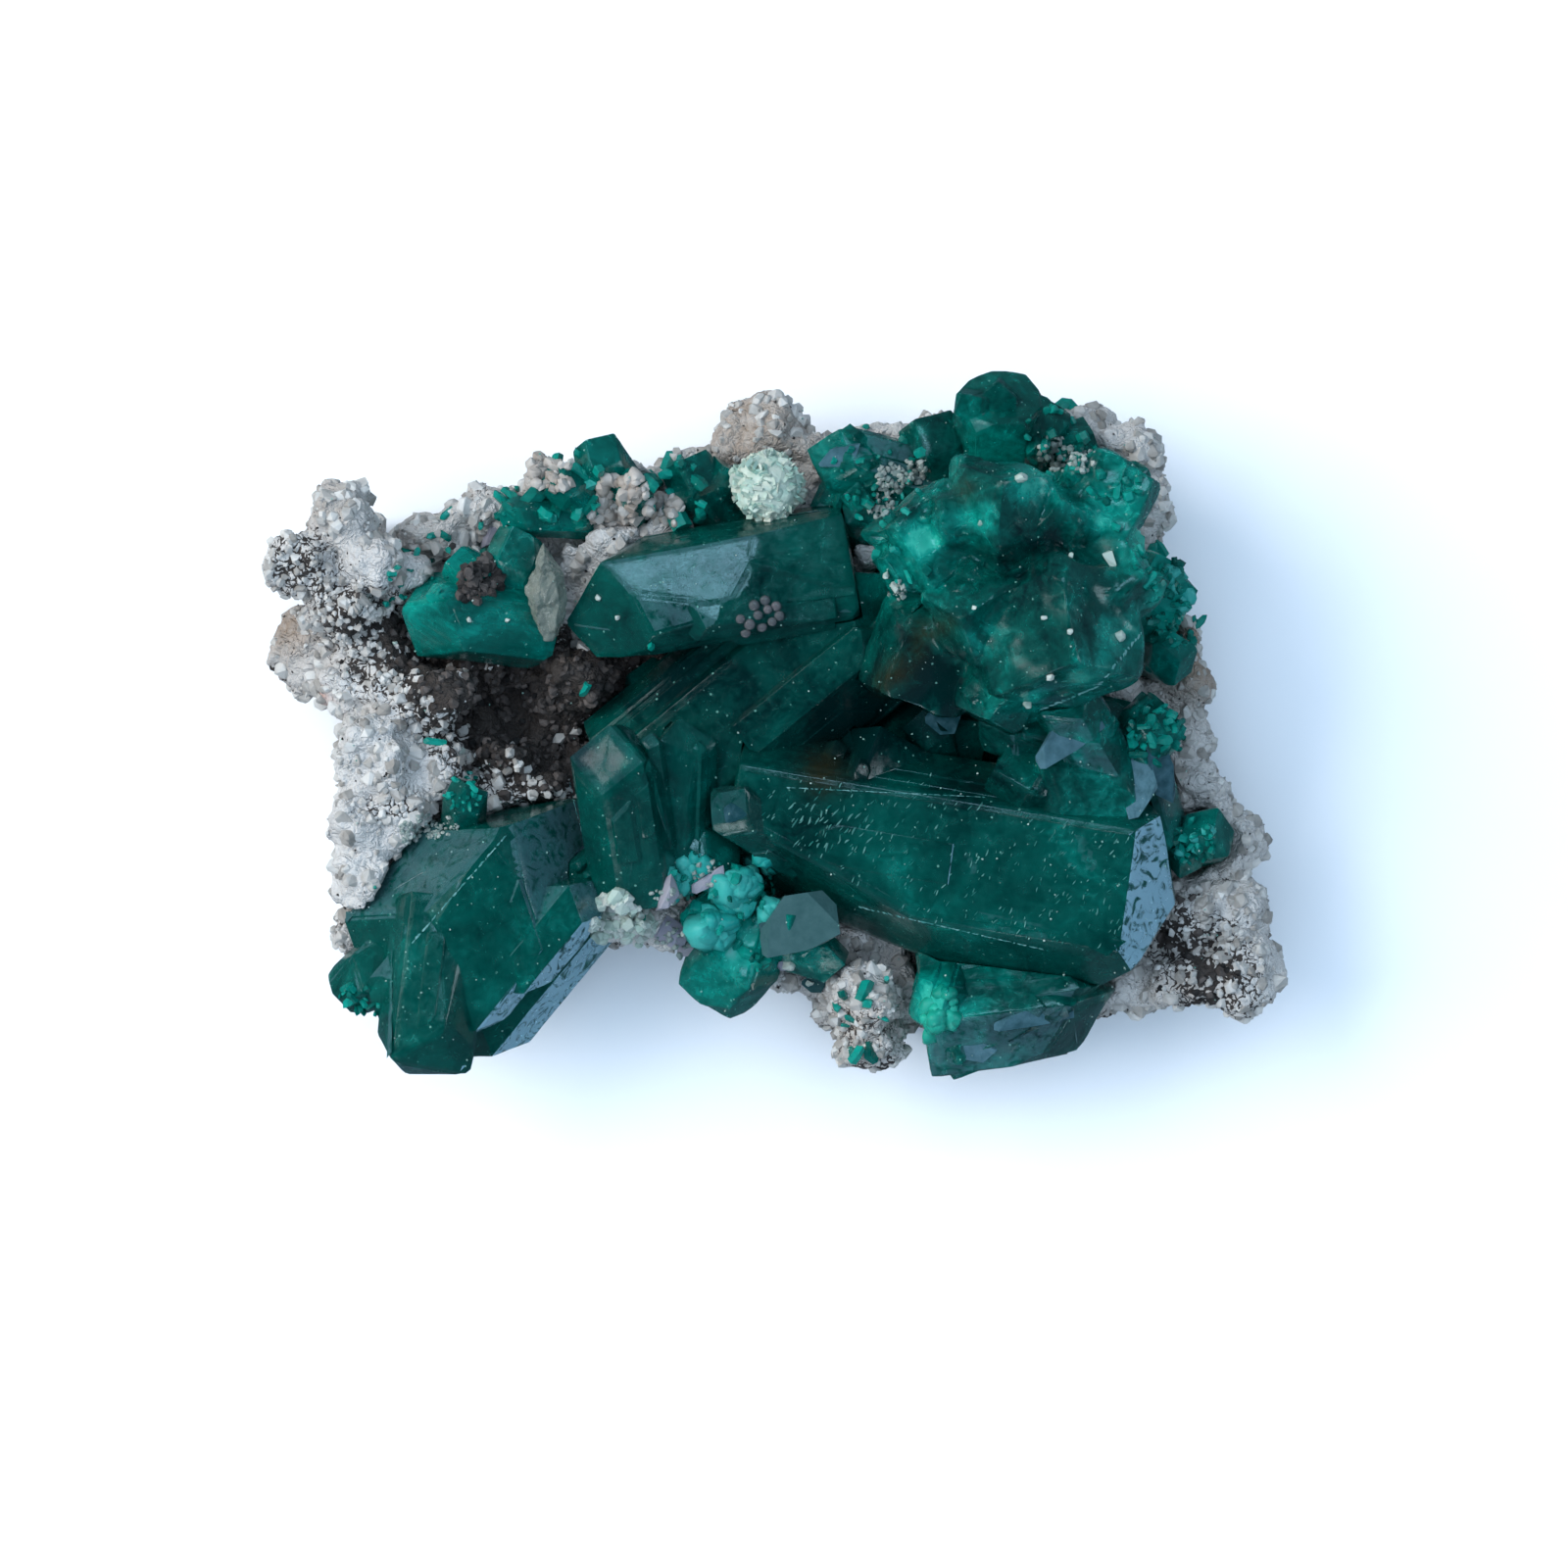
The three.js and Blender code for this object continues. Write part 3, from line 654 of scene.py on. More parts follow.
# Lays the map of each face along the crystal that it belongs to, so that growth lines follow the long axis.
def mapAlongGrowth(piece, crystals, paintedReflections):
    planes = [(point, normal, crystal) for crystal in crystals for point, normal in crystalFaces(crystal)]
    reflectionStrengths = []
    for c, crystal in enumerate(crystals):
        parent = crystal.get("parent", c)
        reflectionStrengths += [paintedReflections.get((parent, k), 0) for k in range(len(crystalFaces(crystal)))]
    normals = np.array([normal for _, normal, _ in planes])
    distances = np.array([point.dot(normal) for point, normal, _ in planes])
    mesh = piece.data
    misfit = np.abs(faceVectors(mesh, "center") @ normals.T - distances)
    misfit += crystalForm["facingWeight"] * (1 - faceVectors(mesh, "normal") @ normals.T)
    best = misfit.argmin(axis=1)
    # Each face keeps the strength of its painted reflection.
    film = mesh.attributes.new("film", "FLOAT", "FACE")
    film.data.foreach_set("value", np.array(reflectionStrengths, dtype=np.float32)[best])
    growth = mesh.uv_layers.new(name="growth")
    axes = [(Vector(crystal["tip"]) - Vector(crystal["root"])).normalized() for _, _, crystal in planes]
    for polygon in mesh.polygons:
        along = axes[best[polygon.index]]
        across = along.cross(polygon.normal).normalized()
        for corner in polygon.loop_indices:
            place = mesh.vertices[mesh.loops[corner].vertex_index].co
            growth.data[corner].uv = (place.dot(along), place.dot(across))


def soften(mesh, degrees=22):
    mesh.polygons.foreach_set("use_smooth", [True] * len(mesh.polygons))
    mesh.set_sharp_from_angle(angle=math.radians(degrees))


def setAttribute(mesh, name, values):
    attribute = mesh.attributes.new(name, "FLOAT", "POINT")
    attribute.data.foreach_set("value", np.asarray(values, dtype=np.float32))


def coordinates(mesh):
    places = np.empty(len(mesh.vertices) * 3)
    mesh.vertices.foreach_get("co", places)
    return places.reshape(-1, 3)


# How strongly each point lies in a list of round patches, as (x, y, radius, strength).
def patchStrength(places, patches, falloff=1.4):
    total = np.zeros(len(places))
    for x, y, radius, strength in patches:
        away = np.hypot(places[:, 0] - x, places[:, 1] - y) / radius
        total += strength * np.exp(-away * away * falloff)
    return total


def noiseAt(places, wavelength, shift=(0, 0, 0)):
    return np.array([noise.noise(Vector(place) / wavelength + Vector(shift)) for place in places])


# Painted glints and painted shade on the crystals, with some lighter and darker colour, as (x, y, radius,
# strength).
crystalLightAndShade = [
    (4.7, 5.6, 0.5, 0.5),
    (7.5, 7.2, 0.6, 0.5),
    (6.3, 6.2, 0.7, 0.3),
    (9.9, 6.3, 0.5, 0.4),
    (10.8, 7.1, 1.3, 0.3),
    (8.3, 7.4, 0.7, 0.3),
    (3.9, 5.9, 0.8, 0.25),
    (8.6, 5.7, 0.8, -0.3),
    (7.4, 4.5, 1.3, -0.4),
    (5.2, 1.6, 1.3, -0.3),
    (8.4, 3.2, 1.2, -0.15),
    (10.4, 2.6, 0.7, 0.35),
    (9.4, 1.5, 0.7, 0.3),
    (8.0, 1.0, 0.5, 0.3),
    (6.9, 2.6, 0.8, 0.15),
    (-6.0, -0.8, 0.6, -0.4),
    (-11.2, 4.2, 0.7, 0.5),
    (-9.5, 2.6, 1.5, 0.02),
    (-1.6, -5.2, 1.2, 0.3),
    (-0.8, -6.4, 1.2, 0.3),
    (5.0, -8.8, 0.9, 0.6),
    (11.4, 5.6, 0.6, 0.5),
    (3.4, 4.6, 1.0, 0.3),
    (0.9, -3.2, 1.5, -0.36),
    (8.2, -9.2, 2.0, -0.2),
    (-5.0, -1.6, 0.7, -0.1),
    (12.0, 5.0, 1.3, 0.3),
    (12.4, 3.4, 1.0, 0.25),
    (11.9, 0.0, 1.0, 0.2),
    (0.0, 1.5, 3.5, -0.22),
    (4.5, 0.5, 2.0, -0.4),
    (-3.0, 1.6, 2.0, -0.3),
    (2.0, -0.4, 1.5, -0.4),
    (6.0, -2.0, 1.6, -0.3),
]

# Brown stain on the crystals, in the same way.
brownStains = [
    (4.6, 2.9, 0.5, 0.9),
    (5.3, 3.1, 0.35, 0.7),
    (3.8, 1.7, 0.55, 0.9),
    (3.4, 1.3, 0.4, 0.8),
    (4.4, 2.2, 0.4, 0.5),
    (1.5, -1.4, 0.8, 0.9),
    (5.8, 7.2, 0.5, 0.6),
]

# The raised cluster's lowest corner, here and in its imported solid, gives the place of everything.
lowestCorner = Vector((1e9, 1e9, 1e9))
for crystal in crystalGroups["raised_cluster"]:
    bare = crystalShape(crystal)
    for corner in bare.verts:
        lowestCorner = Vector(map(min, lowestCorner, corner.co))
    bare.free()
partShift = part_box("raised_cluster")[0] / mm - lowestCorner
toFrame = Matrix.Scale(mm, 4) @ Matrix.Translation(partShift)
print("shift onto the solids, mm:", [round(value, 4) for value in partShift])


# Puts a finished piece onto the imported solids, inside their box, gives it its material, and hides the
# solids that it stands for.
def finishPiece(piece, material, slot, nodes=(), margin=0.01 * mm):
    piece.data.transform(toFrame)
    low, high = (np.array(corner) for corner in cadBox)
    places = np.clip(coordinates(piece.data), low, high - margin)
    places[:, :2] = np.maximum(places[:, :2], low[:2] + margin)
    piece.data.vertices.foreach_set("co", places.ravel())
    piece.data.update()
    piece.data.materials.clear()
    piece.data.materials.append(material)
    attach(piece, "root")
    if nodes:
        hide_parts(*nodes)


def buildCrystalGroup(name, crystals, earlier):
    chance = random.Random(name)
    grown = list(crystals)
    for k, crystal in enumerate(crystals):
        if crystal["width"] > offshoots["leastParent"]:
            grown += offshootsOf(k, crystal, offshootCounts.get(name, 1), chance)
            grown += splayedFrom(crystal, splayedCounts.get(name, 0), chance)
    grown += extraCrystals.get(name, [])
    pieces = []
    for k, crystal in enumerate(grown):
        main = k < len(crystals)
        wear = crystalForm["wear"] if main else crystalForm["wear"] / 2
        shape = crystalShape(crystal, wear=wear, chance=chance, steps=main)
        if shape.faces:
            bmesh.ops.triangulate(shape, faces=shape.faces)
            pieces.append(fromShape(shape, f"{name}Part{k}"))
    piece = pieces[0]
    combine(piece, pieces[1:], "UNION")
    discard(pieces[1:])
    cutters = [other for other in earlier if overlap(piece, other)]
    if cutters:
        combine(piece, cutters, "DIFFERENCE")
    shape = bmesh.new()
    shape.from_mesh(piece.data)
    keepSkins(shape)
    piece.data = refine(shape, crystalForm["edgeLength"], name)
    shape = bmesh.new()
    shape.from_mesh(piece.data)
    keepSkins(shape)
    smoothOut(shape, wornRounds.get(name, 0))
    shape.normal_update()
    waves = roughWaves.get(name, crystalForm["waves"])
    for corner in shape.verts:
        push = sum(height * noise.noise(corner.co / length) for length, height in waves)
        corner.co += corner.normal * push
    shape.to_mesh(piece.data)
    shape.free()
    mapAlongGrowth(piece, grown, paintedReflectionFaces.get(name, {}))
    soften(piece.data)
    # The crystals carry painted glints and painted shade.
    setAttribute(piece.data, "tone", patchStrength(coordinates(piece.data), crystalLightAndShade))
    setAttribute(piece.data, "stain", patchStrength(coordinates(piece.data), brownStains))
    first, *others = name.split("_")
    piece.name = first + "".join(word.capitalize() for word in others) + "Look"
    return piece


def overlap(piece, other):
    for axis in range(3):
        low = min(corner[axis] for corner in piece.bound_box)
        high = max(corner[axis] for corner in piece.bound_box)
        otherLow = min(corner[axis] for corner in other.bound_box)
        otherHigh = max(corner[axis] for corner in other.bound_box)
        if low > otherHigh or high < otherLow:
            return False
    return True


crystalPieces = {}
grownCrystals = []
for groupName, crystals in crystalGroups.items():
    crystalPieces[groupName] = buildCrystalGroup(groupName, crystals, grownCrystals)
    for crystal in crystals:
        shape = crystalShape(crystal, grow=crystalForm["socket"])
        bmesh.ops.triangulate(shape, faces=shape.faces)
        grownCrystals.append(fromShape(shape, "grown"))
discard(grownCrystals)
print("crystals:", sum(len(piece.data.polygons) for piece in crystalPieces.values()), "triangles")


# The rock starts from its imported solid, smoothed into one skin and roughened.
rock = {
    "voxel": 0.15,
    "smoothing": 6,
    "lumps": (1.7, 0.30),  # wavelength and height
    "knobs": (0.62, 0.16),
    "grain": (0.34, 0.10),
    "calmGrain": 0.4,  # share of the grain's height outside the dark patches
    "fractal": (0.8, 2.1, 3),  # roughness, step and count of the waves in lumps and knobs
    "wall": (2.4, 0.50),  # more relief low down, below wallTop
    "wallFractal": (0.8, 2.1, 2),
    "wallTop": 4.0,
    "wallFade": 1.4,  # height at which the stains on the wall end, in wallTops
    "wallBeige": (2.2, 0.35, 0.9),  # size, share and strength of the stains
    "wallDark": (1.3, -0.05, 1.1),
    "flatBelow": 0.35,  # the underside stays flat
    "cutHeight": 0.1,
    "edgeMargin": 0.03,
}

# Hollows in the rock, as (x, y, radius, depth).
hollows = [
    (-8.4, 1.1, 0.8, 1.1),
    (-8.0, 0.1, 0.8, 1.1),
    (-9.6, 0.2, 0.5, 0.5),
    (-6.6, -0.6, 0.7, 0.9),
    (-10.3, 2.1, 0.4, 0.5),
]

# Dark grains between the white ones, and painted shade in the recesses between and under the crystals, as
# (x, y, radius, strength).
darkGrainAndShadePatches = [
    (-14.8, 5.1, 1.2, 1.15),
    (-13.6, 4.0, 1.0, 0.7),
    (-13.3, 3.0, 0.9, 0.8),
    (-12.0, 3.1, 1.2, 1.2),
    (-13.0, 1.5, 0.9, 0.6),
    (-10.9, 1.3, 1.3, 0.7),
    (-8.8, 0.8, 1.5, 1.3),
    (-10.6, -0.3, 0.7, 0.7),
    (-12.4, -2.6, 0.6, 0.5),
    (-11.6, -2.4, 0.7, 0.8),
    (-12.9, -6.9, 0.8, 0.6),
    (-8.8, -1.0, 1.2, 0.7),
    (-9.1, 4.6, 1.0, 1.0),
    (-6.5, 1.5, 1.4, 1.0),
    (12.1, -6.4, 1.0, 1.0),
    (13.8, -6.6, 0.9, 0.7),
    (2.6, -9.3, 1.5, 0.55),
    (3.4, -10.6, 0.5, 0.9),
    (1.9, -9.8, 0.5, 0.7),
    (13.6, -7.8, 1.6, 0.9),
    (-10.6, 1.8, 1.4, 1.3),
    (-7.6, 1.0, 1.5, 1.2),
    (-9.6, -1.5, 1.0, 0.6),
    (12.4, 6.0, 0.5, 0.7),
    (-2.5, 0.8, 2.6, 2.0),
    (1.5, 0.4, 2.6, 2.0),
    (5.0, 0.3, 2.2, 2.0),
    (-5.6, 1.6, 1.4, 1.2),
    (-7.0, -1.4, 1.6, 1.4),
    (9.0, -0.5, 1.6, 1.5),
]

# Where the grains themselves are dark brown, which also paints shade in the recesses between the crystals,
# and beige stain and rust, in the same way.
brownGrainAndShadePatches = [
    (-8.8, 0.9, 1.5, 1.3),
    (-10.7, 1.7, 1.2, 0.9),
    (-12.2, 2.7, 1.0, 0.6),
    (-13.4, 3.4, 0.6, 0.5),
    (-7.2, 1.2, 1.5, 1.3),
    (-5.8, 1.6, 1.4, 1.2),
    (-7.0, -0.9, 1.5, 1.2),
    (-9.2, -0.6, 0.8, 0.8),
    (-9.1, 4.5, 1.0, 1.1),
    (-2.5, 0.8, 2.6, 2.0),
    (1.5, 0.4, 2.6, 2.0),
    (5.0, 0.3, 2.2, 2.0),
    (9.0, -0.5, 1.6, 1.5),
    (13.6, -7.9, 1.2, 0.7),
    (12.1, -6.2, 0.9, 0.9),
]
beigePatches = [
    (-13.9, 6.9, 1.4, 0.7),
    (-15.1, 3.0, 1.3, 0.9),
    (-0.6, 9.4, 2.6, 1.0),
    (13.3, 2.4, 2.0, 1.3),
    (-10.3, 6.4, 1.8, 0.5),
    (13.0, -8.0, 1.5, 0.6),
    (-7.5, 7.6, 1.5, 0.4),
    (2.8, -9.3, 1.5, 0.6),
]
rustPatches = [
    (-14.2, 0.9, 0.35, 1.0),
    (-13.8, 0.4, 0.3, 1.0),
]


def buildRock():
    toSpecimen = toFrame.inverted()
    shape = bmesh.new()
    shape.from_mesh(frame["nodes"]["matrix"].data)
    shape.transform(toSpecimen)
    bmesh.ops.remove_doubles(shape, verts=shape.verts, dist=1e-4)
    piece = fromShape(shape, "rockLook")
    remesh = piece.modifiers.new("skin", "REMESH")
    remesh.mode = "VOXEL"
    remesh.voxel_size = rock["voxel"]
    settle(piece)
    shape = bmesh.new()
    shape.from_mesh(piece.data)
    smoothOut(shape, rock["smoothing"])
    shape.normal_update()
    places = np.array([corner.co for corner in shape.verts])
    dark = patchStrength(places, darkGrainAndShadePatches)
    hollow = patchStrength(places, hollows)
    low, high = (toSpecimen @ corner for corner in cadBox)
    margin = rock["edgeMargin"]
    for corner, darkness, depth in zip(shape.verts, dark, hollow):
        place = corner.co.copy()
        raised = min(1, max(0, place.z / rock["flatBelow"] - 0.3))
        push = -depth
        for wave, height in (rock["lumps"], rock["knobs"]):
            push += height * noise.fractal(place / wave, *rock["fractal"])
        wave, height = rock["grain"]
        nearest = noise.voronoi(place / wave)[0]
        push += height * (1 - 1.4 * nearest[0]) * (rock["calmGrain"] + min(1, darkness))
        wave, height = rock["wall"]
        lowDown = max(0, 1 - place.z / rock["wallTop"])
        push += height * noise.fractal(place / wave, *rock["wallFractal"]) * lowDown
        shift = corner.normal * push
        shift.z *= raised
        corner.co += shift
        corner.co.x = min(high.x - margin, max(low.x + margin, corner.co.x))
        corner.co.y = min(high.y - margin, max(low.y + margin, corner.co.y))
    everything = shape.verts[:] + shape.edges[:] + shape.faces[:]
    cut = Vector((0, 0, low.z + rock["cutHeight"]))
    bmesh.ops.bisect_plane(shape, geom=everything, plane_co=cut, plane_no=(0, 0, -1), clear_outer=True)
    rim = [edge for edge in shape.edges if edge.is_boundary]
    bmesh.ops.holes_fill(shape, edges=rim, sides=0)
    bmesh.ops.translate(shape, verts=shape.verts, vec=(0, 0, low.z - cut.z))
    keepSkins(shape)
    bmesh.ops.triangulate(shape, faces=shape.faces)
    shape.to_mesh(piece.data)
    shape.free()
    piece.data.polygons.foreach_set("use_smooth", [True] * len(piece.data.polygons))
    places = coordinates(piece.data)
    wall = np.clip(rock["wallFade"] - places[:, 2] / rock["wallTop"], 0, 1)
    size, share, strength = rock["wallBeige"]
    beige = patchStrength(places, beigePatches)
    beige += wall * strength * np.clip(noiseAt(places, size) + share, 0, 1)
    size, share, strength = rock["wallDark"]
    # The dark colour marks dark grains and paints shade in the recesses.
    dark = patchStrength(places, darkGrainAndShadePatches) + patchStrength(places, brownGrainAndShadePatches)
    dark += wall * strength * np.clip((noiseAt(places, size, (9, 0, 0)) + share) * 3, 0, 1)
    setAttribute(piece.data, "dark", dark)
    setAttribute(piece.data, "beige", beige)
    setAttribute(piece.data, "rust", patchStrength(places, rustPatches))
    print("rock:", len(piece.data.polygons), "triangles")
    return piece


rockPiece = buildRock()


def anyDirection(chance):
    return Vector([chance.gauss(0, 1) for _ in range(3)]).normalized()


# Small shapes are made once, and their copies are joined into one mesh: each copy has a place and a shade.
def keepShape(shape, name):
    mesh = bpy.data.meshes.new(name)
    shape.to_mesh(mesh)
    shape.free()
    return mesh, coordinates(mesh)


# A nearly round lump.
def pebble(name, chance, roughness):
    shape = bmesh.new()
    bmesh.ops.create_icosphere(shape, subdivisions=3, radius=1)
    for corner in shape.verts:
        corner.co *= 1 + chance.uniform(-roughness, roughness)
    return keepShape(shape, name)


# A knobbly lump with a smooth skin.
def blob(name, number):
    shape = bmesh.new()
    bmesh.ops.create_icosphere(shape, subdivisions=2, radius=1)
    for corner in shape.verts:
        corner.co *= 1 + 0.45 * noise.noise(corner.co * 1.4 + Vector((number * 7, 0, 0)))
    return keepShape(shape, name)


# A faceted grain.
def grit(name, chance, corners):
    shape = bmesh.new()
    for _ in range(corners):
        shape.verts.new(anyDirection(chance) * chance.uniform(0.85, 1.0))
    wrap(shape)
    return keepShape(shape, name)


# A thin, flat piece with an irregular outline.
def shard(name, chance, cuts=7):
    shape = bmesh.new()
    bmesh.ops.create_cube(shape, size=2)
    for _ in range(cuts):
        angle = chance.uniform(0, 2 * math.pi)
        outward = Vector((math.cos(angle), math.sin(angle), chance.uniform(-0.2, 0.2))).normalized()
        cutAway(shape, outward * chance.uniform(0.72, 1.0), outward)
    wrap(shape)
    return keepShape(shape, name)


def slimCrystal(name, chance, slimness):
    form = dict(root=(-1.0, 0, 0), tip=(1.0, 0, 0), width=slimness, turn=chance.choice((0, 60)))
    form["roll"] = chance.uniform(0, 60)
    form["cap"] = chance.uniform(0, 0.2)
    return keepShape(crystalShape(form, chance=chance), name)


# A leaning block with worn edges.
def block(name, chance, cuts=4):
    shape = bmesh.new()
    bmesh.ops.create_cube(shape, size=2)
    bmesh.ops.transform(shape, matrix=Matrix.Shear("XY", 4, (0.3, 0.1)), verts=shape.verts)
    for _ in range(cuts):
        edge = chance.choice([edge for edge in shape.edges if len(edge.link_faces) == 2])
        shape.normal_update()
        normal = (edge.link_faces[0].normal + edge.link_faces[1].normal).normalized()
        cutAway(shape, edge.verts[0].co - normal * chance.uniform(0.1, 0.3), normal)
    bmesh.ops.recalc_face_normals(shape, faces=shape.faces)
    return keepShape(shape, name)


def joinCopies(name, copies):
    shape = bmesh.new()
    places = []
    shades = []
    for (mesh, outline), transform, shade in copies:
        shape.from_mesh(mesh)
        turned = np.array(transform.to_3x3())
        places.append(outline @ turned.T + np.array(transform.translation))
        shades.append(np.full(len(outline), shade))
    piece = fromShape(shape, name)
    piece.data.vertices.foreach_set("co", np.concatenate(places).ravel())
    piece.data.update()
    setAttribute(piece.data, "shade", np.concatenate(shades))
    print(f"{name}: {len(copies)} copies, {len(piece.data.polygons)} faces")
    return piece


# A transform that stands a shape on a place, with its x axis along a direction.
def standing(place, along, size, spin=0.0):
    turned = Vector((1, 0, 0)).rotation_difference(along).to_matrix().to_4x4()
    scale = Matrix.Diagonal((*size, 1)) if isinstance(size, tuple) else Matrix.Scale(size, 4)
    return Matrix.Translation(place) @ turned @ Matrix.Rotation(spin, 4, "X") @ scale


# A transform that lays a shape on a surface, with its x axis along a direction and its z axis out of the
# surface.
def lying(place, along, out, size):
    along = (along - out * along.dot(out)).normalized()
    turned = Matrix((along, out.cross(along), out)).transposed().to_4x4()
    return Matrix.Translation(place) @ turned @ Matrix.Diagonal((*size, 1))


# Looks down onto the specimen at a place, and says what is met there, if it isn't too low.
def surfaceBelow(x, y, height=40, lowest=0.3):
    scene = bpy.context.scene
    graph = bpy.context.evaluated_depsgraph_get()
    hit, place, normal, _, piece, _ = scene.ray_cast(graph, Vector((x, y, height)), Vector((0, 0, -1)))
    return (place, normal, piece.name) if hit and place.z > lowest else None


bpy.context.view_layer.update()

# Sugary grains on the rock: pale ones everywhere and closest in the dark patches, and dark specks. lift is
# how far a grain stands out of the rock, as a share of its size.
rockGrains = {
    "fine": {"count": 1700, "size": (0.05, 0.12), "lift": 0.2, "shades": (0, 1)},
    "lumps": {"count": 3700, "size": (0.12, 0.36), "lift": -0.22, "shades": (0, 1)},
    "plates": {"count": 1300, "size": (0.10, 0.22), "lift": 0, "shades": (0, 0.9)},
    "specks": {"count": 1500, "size": (0.025, 0.075), "lift": 0.2, "shades": (0, 0.4)},
    "brown": {"count": 1700, "size": (0.09, 0.24), "lift": 0, "shades": (0, 1)},
    "darkPull": 1.3,  # how much more fine grain a dark patch has
    "clumpSize": 0.8,
    "lowest": 0.4,
    "lowestFacing": -0.6,
    "edgeMargin": 0.25,
    "clearance": 0.35,  # from crystals and other pieces
}


def buildRockGrains():
    chance = random.Random(5)
    spread = np.random.default_rng(5)
    mesh = rockPiece.data
    count = len(mesh.polygons)
    centres = faceVectors(mesh, "center")
    facing = faceVectors(mesh, "normal")
    areas = np.empty(count)
    mesh.polygons.foreach_get("area", areas)
    low, high = (toFrame.inverted() @ corner for corner in cadBox)
    margin = rockGrains["edgeMargin"]
    inside = (centres[:, 2] > rockGrains["lowest"]) & (facing[:, 2] > rockGrains["lowestFacing"])
    for axis in (0, 1):
        inside &= (centres[:, axis] > low[axis] + margin) & (centres[:, axis] < high[axis] - margin)
    brown = np.clip(patchStrength(centres, brownGrainAndShadePatches), 0, 1)
    dark = np.clip(patchStrength(centres, darkGrainAndShadePatches), 0, 1) * (1 - brown)
    pebbles = [grit(f"pebble{k}", chance, 11) for k in range(10)]
    lumps = [grit(f"lump{k}", chance, 18) for k in range(12)]
    scene = bpy.context.scene
    graph = bpy.context.evaluated_depsgraph_get()

    def chosen(weights, number):
        weights = weights * areas * inside
        for index in spread.choice(count, number, replace=False, p=weights / weights.sum()):
            place = Vector(centres[index])
            normal = Vector(facing[index])
            start = place + normal * 0.02
            hit, _, _, _, piece, _ = scene.ray_cast(graph, start, normal, distance=rockGrains["clearance"])
            if not (hit and piece is not rockPiece):
                yield place, normal

    def copies(shapes, weights, kind):
        made = []
        for place, normal in chosen(weights, kind["count"]):
            size = chance.uniform(*kind["size"])
            flat = (size * chance.uniform(0.75, 1.0), size, size * chance.uniform(0.8, 1.2))
            pose = standing(place + normal * size * kind["lift"], anyDirection(chance), flat)
            made.append((chance.choice(shapes), pose, chance.uniform(*kind["shades"])))
        return made

    clumped = np.clip((noiseAt(centres, rockGrains["clumpSize"]) + 0.12) * 2.5, 0.1, 1)
    crowding = (0.25 + dark * rockGrains["darkPull"]) * clumped * (1.04 - brown)
    pale = copies(pebbles, crowding, rockGrains["fine"])
    pale += copies(lumps, (1.05 - dark) * (1.02 - brown), rockGrains["lumps"])
    pale += copies(lumps, dark * clumped, rockGrains["plates"])
    specks = copies(pebbles, 0.35 + dark, rockGrains["specks"])
    # Dark brown grains, which also paint shade in the recesses between the crystals.
    specks += copies(lumps, brown, rockGrains["brown"])
    return joinCopies("rockGrainsLook", pale), joinCopies("darkSpecksLook", specks)


paleGrains, darkSpecks = buildRockGrains()

# Mint-white rosette of small blades.
rosette = {
    "centre": (-0.2, 7.4, 6.0),
    "radius": 1.0,
    "flatness": 0.85,
    "lumps": 14,
    "lumpReach": 0.72,
    "lumpSize": (0.28, 0.42),
    "blades": 620,
    "bladeSize": (0.12, 0.30),
    "bladeForm": (0.62, 0.5, 0.18),  # length, width and thickness, as shares of its size
    "bladeReach": (0.94, 0.3),  # how far out the blades stand, and how much that varies
    "disorder": 0.35,
}


def buildRosette():
    chance = random.Random(11)
    centre = Vector(rosette["centre"])
    lumps = [pebble(f"rosetteLump{k}", chance, 0.03) for k in range(3)]
    blades = [block(f"blade{k}", chance) for k in range(6)]
    copies = [(lumps[0], standing(centre, Vector((1, 0, 0)), rosette["radius"]), 0.3)]
    for k in range(rosette["lumps"]):
        outward = anyDirection(chance)
        outward.z = abs(outward.z)
        place = centre + outward * rosette["lumpReach"]
        pose = standing(place, outward, chance.uniform(*rosette["lumpSize"]))
        copies.append((lumps[k % 3], pose, chance.uniform(0.3, 0.8)))
    reach, variation = rosette["bladeReach"]
    for _ in range(rosette["blades"]):
        outward = anyDirection(chance)
        size = chance.uniform(*rosette["bladeSize"])
        shape = tuple(size * share for share in rosette["bladeForm"])
        bulge = reach + variation * noise.noise(outward * 2.6)
        place = centre + outward * (rosette["radius"] * bulge)
        place.z = centre.z + (place.z - centre.z) * rosette["flatness"]
        heading = (outward + anyDirection(chance) * rosette["disorder"]).normalized()
        pose = standing(place, heading, shape, chance.uniform(0, 6))
        copies.append((chance.choice(blades), pose, chance.random()))
    return joinCopies("rosetteLook", copies)


rosettePiece = buildRosette()

# See-through blade of calcite, with a grainy skin.
calciteBlade = dict(
    root=(-7.3, 2.9, 6.4),
    tip=(-6.7, 5.8, 8.0),
    width=1.3,
    depth=0.9,
    roll=10,
    cuts=[
        ((-6.75, 4.9, 7.6), (0.85, 0.45, 0.2)),
        ((-7.45, 3.5, 6.8), (-0.9, -0.35, 0.1)),
        ((-7.5, 4.8, 7.4), (-0.95, 0.3, 0.2)),
    ],
)
calciteSkin = {
    "wear": 0.05,
    "edgeLength": 0.09,
    "waves": (0.8, 0.12),  # wavelength and height
    "grain": (0.25, 0.05),
    "sunk": 0.05,
}


def buildCalciteBlade():
    chance = random.Random(3)
    shape = crystalShape(calciteBlade, wear=calciteSkin["wear"], chance=chance)
    piece = link("calciteBladeLook", refine(shape, calciteSkin["edgeLength"], "calciteBladeLook"))
    shape = bmesh.new()
    shape.from_mesh(piece.data)
    wave, waveHeight = calciteSkin["waves"]
    grain, grainHeight = calciteSkin["grain"]
    for corner in shape.verts:
        push = waveHeight * noise.fractal(corner.co / wave, 0.7, 2.1, 4) - calciteSkin["sunk"]
        push += grainHeight * noise.voronoi(corner.co / grain)[0][0]
        corner.co += corner.normal * push
    shape.to_mesh(piece.data)
    shape.free()
    soften(piece.data, 30)
    return piece


calcitePiece = buildCalciteBlade()

